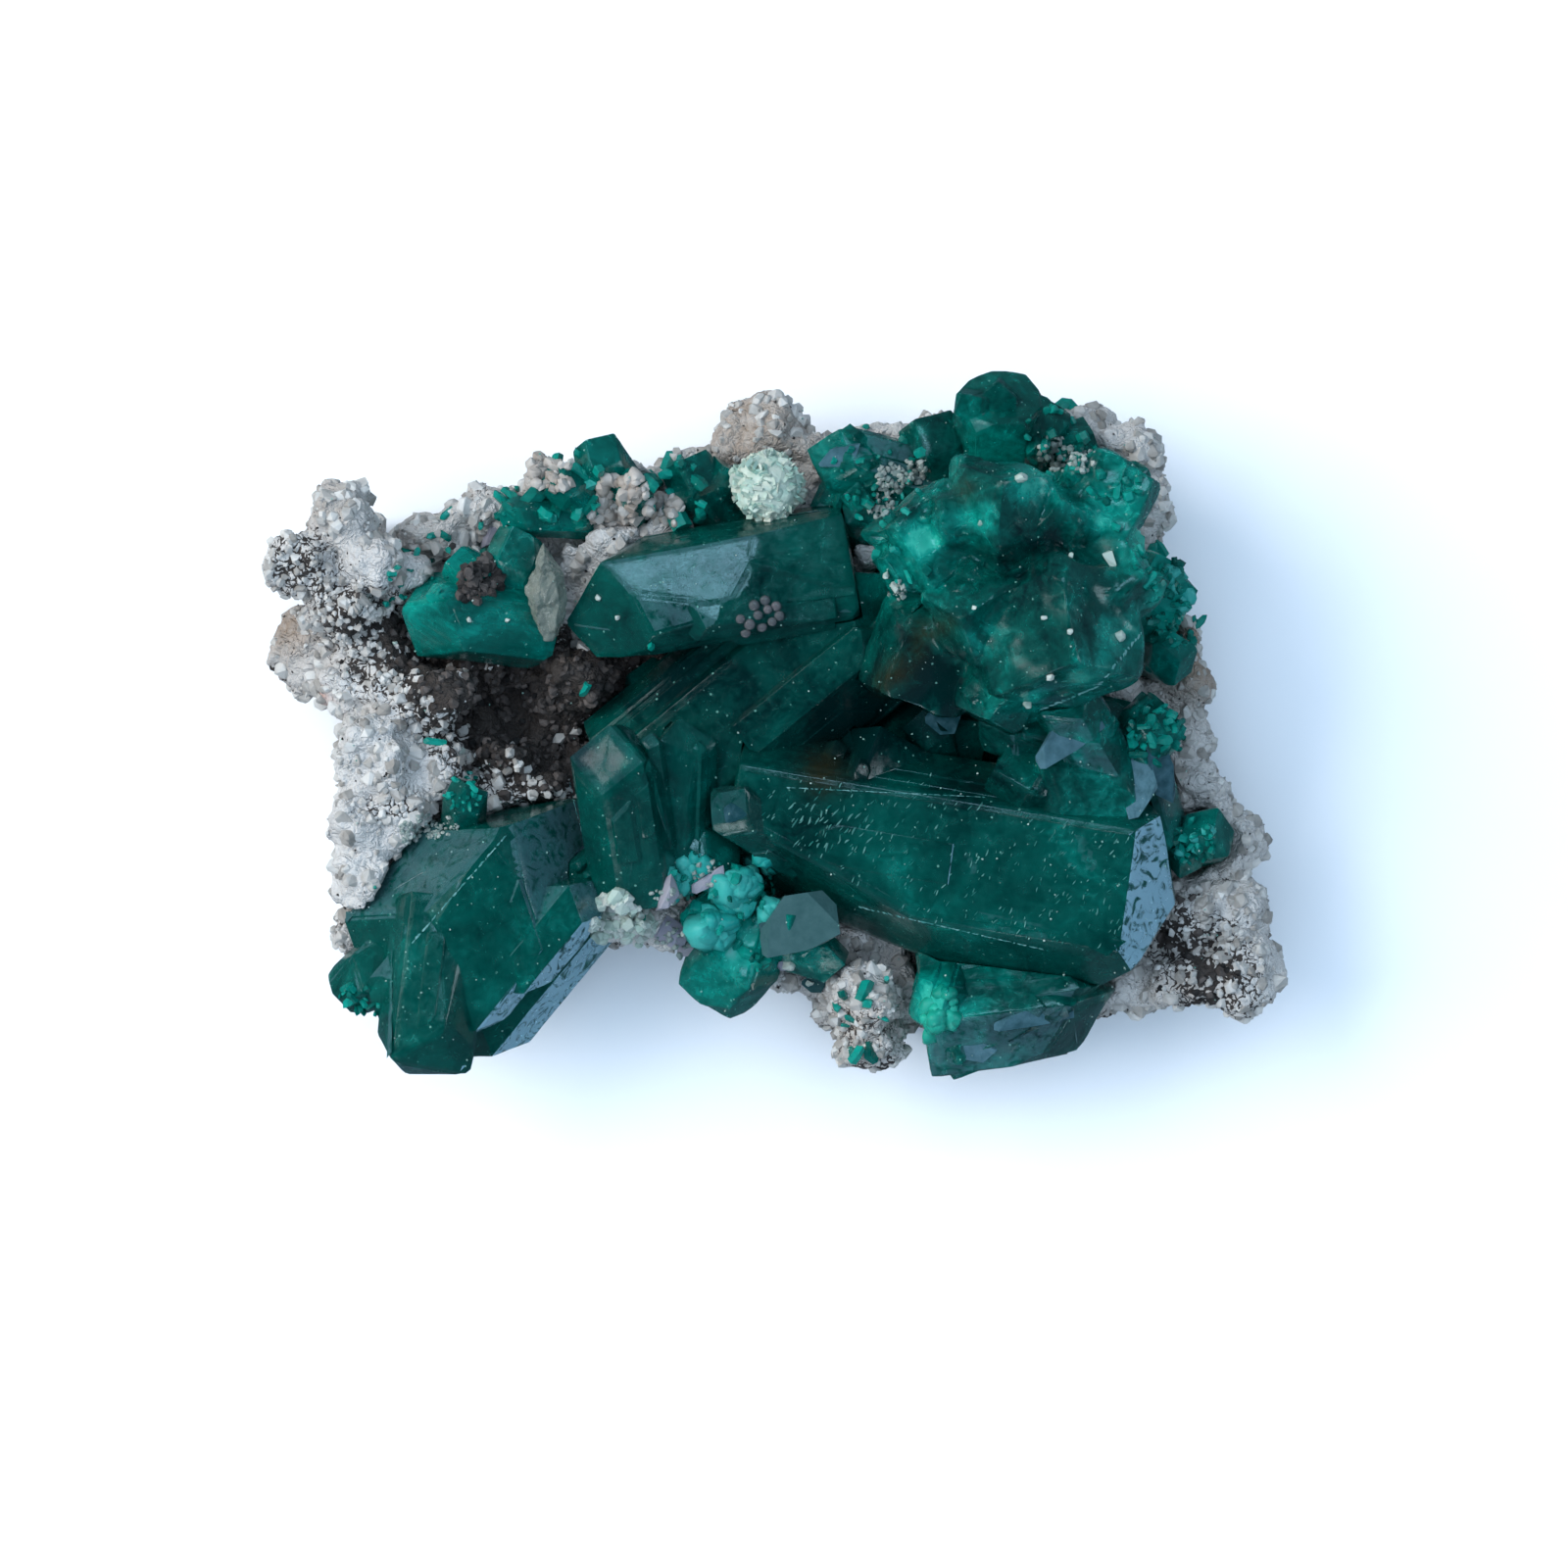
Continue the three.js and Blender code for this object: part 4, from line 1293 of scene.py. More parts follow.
# Grains that lie on the crystals, as (x, y, size), and bubbles, as (x, y).
looseGrains = [
    (3.73, 4.27, 0.24),
    (3.45, 4.62, 0.17),
    (3.98, 4.0, 0.15),
    (10.3, 5.12, 0.33),
    (9.09, 5.18, 0.15),
    (6.3, 6.21, 0.12),
    (6.12, 3.61, 0.11),
    (8.24, 3.3, 0.13),
    (10.58, 2.76, 0.25),
    (9.03, 2.85, 0.13),
    (8.42, 1.48, 0.18),
    (7.79, 0.67, 0.2),
    (7.55, 7.58, 0.25),
    (-9.45, 3.3, 0.12),
    (-8.27, 3.3, 0.11),
    (-11.8, 2.6, 0.12),
    (-5.5, 4.88, 0.14),
    (-5.45, 3.97, 0.14),
    (-4.85, 3.36, 0.12),
    (0.45, -7.4, 0.3),
    (-9.79, -0.82, 0.26),
    (1.1, -8.0, 0.16),
]
bubbles = [
    (-0.76, 3.14),
    (-0.5, 3.42),
    (-0.2, 3.6),
    (-0.06, 3.22),
    (-0.38, 3.06),
    (-0.62, 3.72),
    (-0.28, 3.88),
    (0.06, 3.7),
    (-0.88, 2.88),
    (0.16, 3.4),
    (-1.04, 3.3),
]

# Sizes of the bubbles, dust on all crystals, and etch marks on the large one.
scattered = {
    "bubbleSize": (0.14, 0.19),
    "dust": 380,
    "dustSize": (0.015, 0.045),
    "dustArea": (14, 11),  # half its length and width
    "dustFacing": 0.2,
    "marks": 230,
    "markArea": ((-0.5, 12.5), (-7, -1.5)),  # from and to, in x and in y
    "markFacing": 0.85,
    "markSize": (0.07, 0.16),
    "markWidth": 0.026,
    "rowMarks": 34,  # larger marks at one end of the large crystal
    "rowMarkSize": (0.13, 0.24),
    "rowMarkWidth": 0.04,
}

# Where pale grains crowd on crystals and rock, as (x, y, radius, count, size).
paleCrowds = [
    (-11.35, -3.3, 0.35, 60, 0.08),
    (-10.9, -3.0, 0.3, 40, 0.07),
    (-10.6, -3.2, 0.3, 50, 0.06),
    (-10.1, -3.1, 0.3, 30, 0.05),
    (3.6, 7.7, 0.45, 70, 0.10),
    (4.3, 7.9, 0.4, 60, 0.09),
    (3.3, 6.8, 0.4, 40, 0.10),
    (8.7, 8.4, 0.6, 70, 0.10),
    (9.5, 8.2, 0.4, 30, 0.09),
    (-3.4, -5.5, 0.55, 16, 0.10),
    (-3.1, -6.6, 0.6, 18, 0.11),
    (-2.1, -4.7, 0.5, 14, 0.09),
    (3.8, 4.2, 0.3, 30, 0.06),
]

# Mint-white grains at the near edge, in the same way.
mintCrowds = [
    (-4.9, -5.7, 0.6, 46, 0.26),
    (-5.2, -6.2, 0.5, 34, 0.2),
    (-4.3, -6.2, 0.6, 40, 0.2),
]

# Beige grains between the crystals along the back, in the same way.
beigeCrowds = [
    (-4.7, 7.1, 0.8, 60, 0.19),
    (-3.5, 6.7, 0.6, 34, 0.17),
    (-6.9, 8.0, 0.7, 44, 0.19),
    (-5.2, 6.5, 0.5, 26, 0.16),
]

# Dark, knobbly crust on the left crystals, in the same way.
darkCrowds = [
    (-9.1, 4.6, 0.6, 70, 0.2),
    (-9.4, 4.2, 0.4, 30, 0.16),
]

# Painted highlights along crystal edges, from one end to the other, as (x, y, x, y, width). They are rows
# of pale specks.
highlightSpecks = {"step": 0.14, "length": (0.06, 0.16), "width": (0.5, 1.2), "height": 0.6}
edgeHighlights = [
    (2.6, -5.6, 8.3, -6.9, 0.045),
    (-8.3, -3.4, -11.2, -6.7, 0.04),
    (11.3, 2.9, 9.9, 1.2, 0.07),
    (9.9, 1.2, 8.2, 0.5, 0.07),
    (-5.9, -3.6, -6.4, -1.7, 0.03),
    (0.4, -1.9, 6.6, -2.2, 0.025),
]

# Where small green crystals crowd, as (x, y, radius, count, size).
greenCrowds = [
    (-1.5, -5.4, 1.3, 12, 0.18),
    (-2.6, -4.5, 0.7, 8, 0.15),
    (-0.6, -6.9, 0.8, 10, 0.19),
    (-0.2, -4.9, 0.5, 6, 0.15),
    (12.0, 4.9, 0.9, 50, 0.17),
    (12.5, 3.2, 0.8, 40, 0.17),
    (13.0, -3.6, 0.7, 30, 0.16),
    (11.9, -0.2, 0.9, 40, 0.17),
    (-10.0, 5.6, 1.2, 7, 0.16),
    (-8.6, 7.0, 0.9, 6, 0.16),
    (-6.4, 7.5, 1.4, 26, 0.28),
    (-2.9, 7.3, 1.3, 20, 0.28),
    (8.9, 8.9, 1.2, 22, 0.2),
    (3.2, 7.9, 1.6, 30, 0.2),
    (-11.0, 4.4, 1.0, 14, 0.13),
    (-12.9, -8.7, 0.7, 24, 0.15),
    (-9.6, -2.0, 0.6, 24, 0.13),
    (2.9, -8.6, 1.0, 5, 0.24),
    (2.7, -10.1, 0.4, 3, 0.28),
    (-4.3, -6.1, 0.3, 8, 0.17),
    (10.6, 6.9, 1.0, 10, 0.22),
    (4.0, 5.4, 1.0, 8, 0.2),
]

# Blue-grey blades laid on the crystals where their faces show a reflection, so their colour is painted
# reflection, from one end to the other, as (x, y, x, y, width, thickness, shade).
skyReflectionBlades = [
    (10.7, 0.3, 11.5, -2.8, 1.15, 0.12, 0.45),
    (11.8, 0.2, 12.1, -2.4, 0.85, 0.12, 0.25),
    (8.0, -0.9, 10.1, 0.1, 1.0, 0.14, 0.5),
    (1.4, 8.1, 2.7, 8.7, 0.6, 0.14, 0.45),
    (4.7, 0.2, 5.8, 0.3, 1.0, 0.12, 0.1),
    (-1.6, -2.9, -1.0, -2.5, 0.6, 0.10, 0.05),
    (5.5, -9.9, 6.9, -10.1, 0.8, 0.12, 0.6),
    (6.8, -9.2, 9.3, -8.9, 0.6, 0.10, 0.4),
]

# Single small green crystals on the rock, as (x, y, size).
tinyCrystals = [
    (-12.03, 3.79, 0.34),
    (-11.45, 5.48, 0.34),
    (-8.5, 7.1, 0.42),
    (-10.58, -0.48, 0.4),
    (2.9, -8.6, 0.36),
    (2.2, -9.3, 0.2),
    (2.6, -10.15, 0.4),
    (-4.24, -6.12, 0.36),
    (-10.15, 5.5, 0.22),
    (-12.4, -5.0, 0.2),
    (-6.5, 8.2, 0.3),
    (-3.8, 2.45, 0.3),
    (-5.9, 1.1, 0.3),
    (3.5, -7.9, 0.3),
    (-4.5, -5.9, 0.2),
]

# Grey-mauve calcite and a grey plate at the near edge, as (x, y, length, width, height, lean).
mauveBlocks = [
    (-3.35, -5.2, 0.75, 0.45, 0.4, 0.45),
    (-3.2, -6.4, 0.7, 0.55, 0.4, -0.2),
    (-2.0, -4.75, 0.75, 0.35, 0.35, 0.2),
    (-2.6, -6.9, 0.5, 0.4, 0.35, 0.1),
    (-8.9, 6.0, 0.95, 0.45, 0.4, 0.1),
    (0.35, -7.4, 0.34, 0.24, 0.2, 0.0),
]
greyPlates = [
    (0.75, -6.15, 1.25, 0.95, 0.16, 0.05),
    (-0.15, -6.35, 0.4, 0.35, 0.2, -0.2),
    (1.25, -8.0, 0.4, 0.3, 0.2, 0.0),
]

# Smooth turquoise crusts, as (x, y, radius, count, size).
crusts = [
    (-2.9, -4.9, 0.35, 7, 0.34),
    (-2.4, -4.3, 0.4, 9, 0.30),
    (-1.5, -5.3, 0.8, 24, 0.42),
    (-1.9, -6.3, 0.6, 16, 0.40),
    (-0.5, -4.6, 0.45, 9, 0.30),
    (-0.3, -5.8, 0.4, 8, 0.30),
    (12.9, -3.6, 0.6, 5, 0.3),
    (12.7, 4.8, 0.7, 9, 0.32),
    (12.6, 3.9, 0.4, 5, 0.28),
]

# Bright mint-green ones, in the same way.
mintCrusts = [
    (5.1, -8.7, 0.55, 16, 0.30),
    (4.7, -9.4, 0.4, 8, 0.26),
    (-4.0, -6.0, 0.25, 4, 0.22),
]


def insideCrowd(crowd, chance):
    x, y, radius = crowd[:3]
    away = radius * math.sqrt(chance.random())
    around = chance.uniform(0, 2 * math.pi)
    return x + away * math.cos(around), y + away * math.sin(around)


crowdForm = {"size": (0.55, 1.5), "thickness": (0.7, 1.0), "disorder": 0.75}


def crowd(crowds, shapes, lengthen, lift, seed):
    chance = random.Random(seed)
    ceiling = (toFrame.inverted() @ cadBox[1]).z
    copies = []
    for patch in crowds:
        for _ in range(patch[3]):
            found = surfaceBelow(*insideCrowd(patch, chance))
            if not found:
                continue
            place, normal, _ = found
            size = patch[4] * chance.uniform(*crowdForm["size"])
            if place.z + size * 2 > ceiling:
                continue
            outward = (normal + anyDirection(chance) * crowdForm["disorder"]).normalized()
            length = size * chance.uniform(*lengthen)
            scale = (length, size, size * chance.uniform(*crowdForm["thickness"]))
            pose = standing(place + normal * size * lift, outward, scale, chance.uniform(0, 6))
            copies.append((chance.choice(shapes), pose, chance.random()))
    return copies


def tinyCrystalCopies(chance, shapes):
    copies = []
    for x, y, size in tinyCrystals:
        found = surfaceBelow(x, y)
        if found:
            heading = (found[1] * 0.4 + anyDirection(chance)).normalized()
            scale = (size, size * 0.6, size * 0.55)
            pose = standing(found[0] + Vector((0, 0, size * 0.2)), heading, scale)
            copies.append((chance.choice(shapes), pose, 0.9))
    return copies


# Each blade spans from one surface to another, and lies on what is between them.
def skyReflectionBladeCopies(chance, shapes):
    copies = []
    for x, y, farX, farY, width, thickness, shade in skyReflectionBlades:
        near = surfaceBelow(x, y)
        far = surfaceBelow(farX, farY)
        middle = surfaceBelow((x + farX) / 2, (y + farY) / 2)
        if near and far and middle:
            span = far[0] - near[0]
            centre = (near[0] + far[0]) / 2
            centre.z = max(centre.z, middle[0].z) - thickness * 0.3
            out = (near[1] + far[1] + middle[1] + Vector((0, 0, 2))).normalized()
            pose = lying(centre, span, out, (span.length / 2, width / 2, thickness / 2))
            copies.append((chance.choice(shapes), pose, shade))
    return copies


def slabCopies(slabs, chance, shapes):
    copies = []
    for x, y, length, width, height, lean in slabs:
        found = surfaceBelow(x, y)
        if found:
            heading = Vector((math.cos(lean * 3), math.sin(lean * 3), lean)).normalized()
            pose = standing(found[0], heading, (length, width, height))
            copies.append((chance.choice(shapes), pose, chance.random()))
    return copies


# Lays the painted edge highlights as rows of pale specks.
def edgeHighlightCopies(chance, shapes):
    copies = []
    for x, y, farX, farY, width in edgeHighlights:
        steps = int(math.hypot(farX - x, farY - y) / highlightSpecks["step"])
        for step in range(steps):
            share = (step + chance.uniform(0.1, 0.9)) / steps
            found = surfaceBelow(x + (farX - x) * share, y + (farY - y) * share)
            if found:
                length = chance.uniform(*highlightSpecks["length"])
                size = (length, width * chance.uniform(*highlightSpecks["width"]), width * highlightSpecks["height"])
                pose = lying(found[0], Vector((farX - x, farY - y, 0)), found[1], size)
                copies.append((chance.choice(shapes), pose, chance.random()))
    return copies


def looseGrainCopies(chance, shapes):
    copies = []
    for x, y, size in looseGrains:
        found = surfaceBelow(x, y)
        if found:
            scale = (size, size * 0.75, size * 0.9)
            pose = standing(found[0] + Vector((0, 0, size * 0.35)), anyDirection(chance), scale)
            copies.append((chance.choice(shapes), pose, chance.uniform(0.2, 0.8)))
    return copies


def bubbleCopies(chance, shapes):
    copies = []
    for x, y in bubbles:
        found = surfaceBelow(x, y)
        if found:
            size = chance.uniform(*scattered["bubbleSize"])
            scale = (size, size, size * 0.6)
            pose = standing(found[0] + Vector((0, 0, 0.03)), Vector((1, 0, 0)), scale)
            copies.append((chance.choice(shapes), pose, chance.random()))
    return copies


def dustCopies(chance, shapes):
    copies = []
    length, width = scattered["dustArea"]
    while len(copies) < scattered["dust"]:
        found = surfaceBelow(chance.uniform(-length, length), chance.uniform(-width, width))
        if not found or found[2] == rockPiece.name or found[1].z < scattered["dustFacing"]:
            continue
        size = chance.uniform(*scattered["dustSize"])
        pose = standing(found[0] + found[1] * size * 0.5, anyDirection(chance), size)
        copies.append((chance.choice(shapes), pose, chance.random()))
    return copies


# Etch marks on the upper faces of the large crystal, across its long axis.
def markCopies(chance, shapes):
    copies = []
    axis = (Vector(largeCrystal["tip"]) - Vector(largeCrystal["root"])).normalized()
    across = Vector((0, 0, 1)).cross(axis).normalized()
    onName = crystalPieces["large_crystal"].name
    areaX, areaY = scattered["markArea"]

    def mark(x, y, sizes, width):
        found = surfaceBelow(x, y)
        if found and found[2] == onName and found[1].z > scattered["markFacing"]:
            along = across + axis * chance.uniform(0.0, 0.9)
            pose = lying(found[0], along, found[1], (chance.uniform(*sizes), width, width))
            copies.append((chance.choice(shapes), pose, chance.random()))

    while len(copies) < scattered["marks"]:
        x = chance.uniform(*areaX)
        y = chance.uniform(*areaY)
        if noise.noise(Vector((x, y, 0)) / 0.9) > chance.uniform(-0.5, 0.35):
            mark(x, y, scattered["markSize"], scattered["markWidth"])
    for k in range(scattered["rowMarks"]):
        x = 0.5 + 2.6 * (k + chance.random()) / scattered["rowMarks"]
        y = -2.5 - 0.45 * (k % 3) - 0.1 * x + chance.uniform(-0.2, 0.2)
        mark(x, y, scattered["rowMarkSize"], scattered["rowMarkWidth"])
    return copies


# The pieces are laid one after another, because each lies on what is there already.
def buildSmallPieces():
    chance = random.Random(21)
    pebbles = [grit(f"dust{k}", chance, 10) for k in range(5)]
    shards = [shard(f"shard{k}", chance) for k in range(6)]
    sugar = [grit(f"sugar{k}", chance, 16) for k in range(6)]
    beads = [pebble(f"bead{k}", chance, 0.012) for k in range(4)]
    slim = [slimCrystal(f"slim{k}", chance, chance.uniform(1.0, 1.7)) for k in range(9)]
    lumps = [blob(f"crustLump{k}", k) for k in range(6)]
    made = {}

    def keep(name, copies):
        made[name] = joinCopies(name, copies)

    keep("crustLook", crowd(crusts, lumps, (0.6, 1.0), -0.4, 33))
    keep("mintCrustLook", crowd(mintCrusts, lumps, (0.6, 1.0), -0.4, 35))
    soften(made["crustLook"].data, 70)
    soften(made["mintCrustLook"].data, 70)
    keep("greenCrowdLook", crowd(greenCrowds, slim, (0.9, 1.7), 0.1, 31))
    bpy.context.view_layer.update()
    keep("tinyCrystalsLook", tinyCrystalCopies(chance, slim))
    keep("skyReflectionBladesLook", skyReflectionBladeCopies(chance, shards))
    keep("mauveLook", slabCopies(mauveBlocks, chance, sugar))
    keep("greyPlateLook", slabCopies(greyPlates, chance, shards))
    bpy.context.view_layer.update()
    keep("paleCrowdLook", crowd(paleCrowds, sugar, (0.6, 1.3), 0.0, 32))
    keep("mintCrowdLook", crowd(mintCrowds, sugar, (0.8, 1.1), 0.1, 36))
    keep("beigeCrowdLook", crowd(beigeCrowds, lumps + sugar, (0.8, 1.1), 0.0, 38))
    soften(made["beigeCrowdLook"].data, 40)
    keep("darkCrowdLook", crowd(darkCrowds, sugar, (0.8, 1.1), 0.1, 37))
    keep("edgeHighlightsLook", edgeHighlightCopies(chance, pebbles))
    keep("looseGrainsLook", looseGrainCopies(chance, sugar))
    keep("bubblesLook", bubbleCopies(chance, beads))
    dust = dustCopies(chance, pebbles)
    marks = markCopies(chance, pebbles)
    keep("dustLook", dust)
    keep("marksLook", marks)
    return made


smallPieces = buildSmallPieces()


# Materials
def startMaterial(name):
    material = bpy.data.materials.new(name)
    material.use_nodes = True
    return material, material.node_tree, material.node_tree.nodes["Principled BSDF"]


def addNode(tree, kind, inputs=None, **settings):
    node = tree.nodes.new(kind)
    for key, value in settings.items():
        setattr(node, key, value)
    for key, value in (inputs or {}).items():
        if isinstance(value, bpy.types.NodeSocket):
            tree.links.new(value, node.inputs[key])
        else:
            node.inputs[key].default_value = value
    return node


def mixColour(tree, factor, first, second):
    node = tree.nodes.new("ShaderNodeMix")
    node.data_type = "RGBA"
    for key, value in ((0, factor), (6, first), (7, second)):
        if isinstance(value, bpy.types.NodeSocket):
            tree.links.new(value, node.inputs[key])
        else:
            node.inputs[key].default_value = value
    return node.outputs[2]


def maths(tree, operation, first, second, clamp=False):
    inputs = {0: first, 1: second}
    return addNode(tree, "ShaderNodeMath", inputs, operation=operation, use_clamp=clamp).outputs[0]


def rampColour(tree, factor, stops):
    node = addNode(tree, "ShaderNodeValToRGB", {0: factor})
    bar = node.color_ramp.elements
    while len(bar) < len(stops):
        bar.new(0.5)
    for element, (position, colour) in zip(bar, stops):
        element.position = position
        element.color = colour
    return node.outputs[0]


def attributeOf(tree, name):
    return addNode(tree, "ShaderNodeAttribute", attribute_name=name).outputs["Fac"]


def millimetres(tree):
    place = addNode(tree, "ShaderNodeTexCoord").outputs["Object"]
    return addNode(tree, "ShaderNodeVectorMath", {0: place, "Scale": 1 / mm}, operation="SCALE").outputs[0]


def noiseOf(tree, vector, scale, detail=3.0, distortion=0.0, roughness=0.55):
    inputs = {"Vector": vector, "Scale": scale, "Detail": detail, "Roughness": roughness}
    inputs["Distortion"] = distortion
    return addNode(tree, "ShaderNodeTexNoise", inputs).outputs[0]


def cellsOf(tree, vector, scale, feature="F1"):
    node = addNode(tree, "ShaderNodeTexVoronoi", {"Vector": vector, "Scale": scale}, feature=feature)
    return node.outputs["Distance"]


def mapRange(tree, value, start, end, low=0.0, high=1.0):
    inputs = {0: value, 1: start, 2: end, 3: low, 4: high}
    return addNode(tree, "ShaderNodeMapRange", inputs).outputs[0]


# How far a value is from its middle, 0.5, times an amount.
def swing(tree, value, amount):
    return maths(tree, "MULTIPLY", maths(tree, "SUBTRACT", value, 0.5), amount)


def addBump(tree, shader, relief, distance, strength):
    inputs = {"Height": relief, "Distance": distance * mm, "Strength": strength}
    bump = addNode(tree, "ShaderNodeBump", inputs)
    tree.links.new(bump.outputs[0], shader.inputs["Normal"])


# Green crystal: clear, with cloudy light and dark places, painted glints and painted shade, a painted pale
# reflection on chosen faces, specks, and fine growth lines along the long axis. A noise is its scale,
# detail, distortion and roughness.
deepGreen = {
    "stops": [
        (0.0, (0.0003, 0.026, 0.026, 1)),
        (0.42, (0.0006, 0.125, 0.101, 1)),
        (0.62, (0.001, 0.260, 0.210, 1)),
        (0.85, (0.004, 0.480, 0.375, 1)),
        (1.0, (0.050, 0.720, 0.550, 1)),
    ],
    "clearness": 0.6,
    "ior": 1.66,
    "absorption": (0.0, 0.90, 0.888, 1),
    "density": 3200.0,
    "baseTone": 0.36,
    "cloud": 0.55,
    "cloudNoise": (0.55, 5, 0.8, 0.6),
    "veinNoise": (2.6, 3, 1.2, 0.6),
    "hillockNoise": (3.5, 4, 0.6, 0.6),
    "lineNoise": (1.0, 4, 0.0, 0.6),
    "lineStretch": (0.35, 9.0, 1.0),
    "lineTone": 0.3,
    "roughness": (0.10, 0.32),
    "specular": 0.28,
    "speckScale": 2.4,
    "speckSize": 0.09,
    "speck": (0.25, 0.62, 0.52, 1),
    # Colour of the painted reflection on chosen faces.
    "film": (0.45, 0.80, 0.98, 1),
    "paintedReflectionNoise": (1.6, 5, 2.0, 0.62),
    "stain": (0.045, 0.040, 0.016, 1),
    "relief": (0.042, 0.35),  # height and strength
}
middleGreen = {**deepGreen, "baseTone": 0.44, "density": 2200.0, "cloud": 0.95}
brightGreen = {**deepGreen, "baseTone": 0.47, "density": 1600.0, "clearness": 0.5}


def dioptaseMaterial(name, look):
    material, tree, shader = startMaterial(name)
    place = millimetres(tree)
    clouds = noiseOf(tree, place, *look["cloudNoise"])
    veins = noiseOf(tree, place, *look["veinNoise"])
    hillocks = noiseOf(tree, place, *look["hillockNoise"])
    growth = addNode(tree, "ShaderNodeUVMap", uv_map="growth").outputs[0]
    inputs = {"Vector": growth, "Scale": look["lineStretch"]}
    stretched = addNode(tree, "ShaderNodeMapping", inputs).outputs[0]
    lines = noiseOf(tree, stretched, *look["lineNoise"])
    # Painted glints and painted shade on the crystals, added to the base tone.
    tone = maths(tree, "ADD", attributeOf(tree, "tone"), look["baseTone"])
    tone = maths(tree, "ADD", tone, swing(tree, clouds, look["cloud"] * 1.6))
    tone = maths(tree, "ADD", tone, swing(tree, veins, look["cloud"] * 0.7))
    tone = maths(tree, "ADD", tone, swing(tree, lines, look["lineTone"]), clamp=True)
    colour = rampColour(tree, tone, look["stops"])
    specks = maths(tree, "LESS_THAN", cellsOf(tree, place, look["speckScale"]), look["speckSize"])
    specks = maths(tree, "MULTIPLY", specks, maths(tree, "GREATER_THAN", veins, 0.5))
    colour = mixColour(tree, maths(tree, "MULTIPLY", specks, 0.75), colour, look["speck"])
    # Painted pale-blue reflection on the chosen faces, broken up by noise.
    reflectionBreakup = mapRange(tree, noiseOf(tree, place, *look["paintedReflectionNoise"]), 0.36, 0.50)
    film = maths(tree, "MULTIPLY", attributeOf(tree, "film"), reflectionBreakup, True)
    colour = mixColour(tree, film, colour, look["film"])
    uneven = maths(tree, "MULTIPLY", hillocks, 1.5)
    stained = maths(tree, "MULTIPLY", attributeOf(tree, "stain"), uneven, True)
    colour = mixColour(tree, stained, colour, look["stain"])
    tree.links.new(colour, shader.inputs["Base Color"])
    shader.inputs["Specular IOR Level"].default_value = look["specular"]
    rough = mapRange(tree, veins, 0.3, 0.75, *look["roughness"])
    tree.links.new(rough, shader.inputs["Roughness"])
    shader.inputs["Transmission Weight"].default_value = look["clearness"]
    shader.inputs["IOR"].default_value = look["ior"]
    relief = maths(tree, "ADD", maths(tree, "MULTIPLY", lines, 0.5), maths(tree, "MULTIPLY", hillocks, 0.5))
    addBump(tree, shader, relief, *look["relief"])
    inputs = {"Color": look["absorption"], "Density": look["density"]}
    absorb = addNode(tree, "ShaderNodeVolumeAbsorption", inputs)
    tree.links.new(absorb.outputs[0], tree.nodes["Material Output"].inputs["Volume"])
    return material


# Host rock: white and pale grey grains, beige stain, dark brown between the grains that also paints shade
# in the recesses, and a little rust.
rockLook = {
    "white": (0.60, 0.585, 0.565, 1),
    "grey": (0.30, 0.285, 0.28, 1),
    "beige": (0.26, 0.20, 0.155, 1),
    "brown": (0.010, 0.009, 0.009, 1),
    "umber": (0.060, 0.048, 0.042, 1),
    "rust": (0.40, 0.10, 0.03, 1),
    "broadNoise": (0.5, 4),  # scale and detail
    "fineNoise": (3.2, 4, 0.5),  # and distortion
    "reliefNoise": (7.0, 5),
    "cellScale": 3.1,
    "darkReach": 0.19,  # of the brown between the grains, in dark patches
    "fineReach": 0.34,
    "leastReach": 0.215,
    "softEdge": 0.02,
    "roughness": 0.75,
    "specular": 0.4,
    "relief": (0.10, 0.8),  # height and strength
}


def rockMaterial():
    material, tree, shader = startMaterial("hostRock")
    place = millimetres(tree)
    broad = noiseOf(tree, place, *rockLook["broadNoise"])
    fine = noiseOf(tree, place, *rockLook["fineNoise"])
    colour = mixColour(tree, maths(tree, "MULTIPLY", broad, 0.8), rockLook["white"], rockLook["grey"])
    stain = maths(tree, "MULTIPLY", attributeOf(tree, "beige"), maths(tree, "ADD", fine, 0.25), clamp=True)
    colour = mixColour(tree, stain, colour, rockLook["beige"])
    inputs = {"Vector": place, "Scale": 2.2, "Detail": 3.0}
    warp = addNode(tree, "ShaderNodeTexNoise", inputs).outputs["Color"]
    warped = addNode(tree, "ShaderNodeVectorMath", {0: place, 1: warp}, operation="ADD").outputs[0]
    cells = cellsOf(tree, warped, rockLook["cellScale"], "DISTANCE_TO_EDGE")
    reach = maths(tree, "MULTIPLY", attributeOf(tree, "dark"), rockLook["darkReach"])
    reach = maths(tree, "ADD", reach, maths(tree, "MULTIPLY", fine, rockLook["fineReach"]))
    reach = maths(tree, "SUBTRACT", reach, rockLook["leastReach"])
    edge = rockLook["softEdge"]
    mask = mapRange(tree, maths(tree, "SUBTRACT", reach, cells), -edge, edge)
    brown = mixColour(tree, fine, rockLook["brown"], rockLook["umber"])
    colour = mixColour(tree, mask, colour, brown)
    rusty = maths(tree, "MULTIPLY", attributeOf(tree, "rust"), fine, True)
    colour = mixColour(tree, rusty, colour, rockLook["rust"])
    tree.links.new(colour, shader.inputs["Base Color"])
    shader.inputs["Roughness"].default_value = rockLook["roughness"]
    shader.inputs["Specular IOR Level"].default_value = rockLook["specular"]
    rounded = maths(tree, "MULTIPLY", maths(tree, "MINIMUM", cells, 0.3), 2.2)
    relief = maths(tree, "ADD", noiseOf(tree, place, *rockLook["reliefNoise"]), rounded)
    addBump(tree, shader, relief, *rockLook["relief"])
    return material


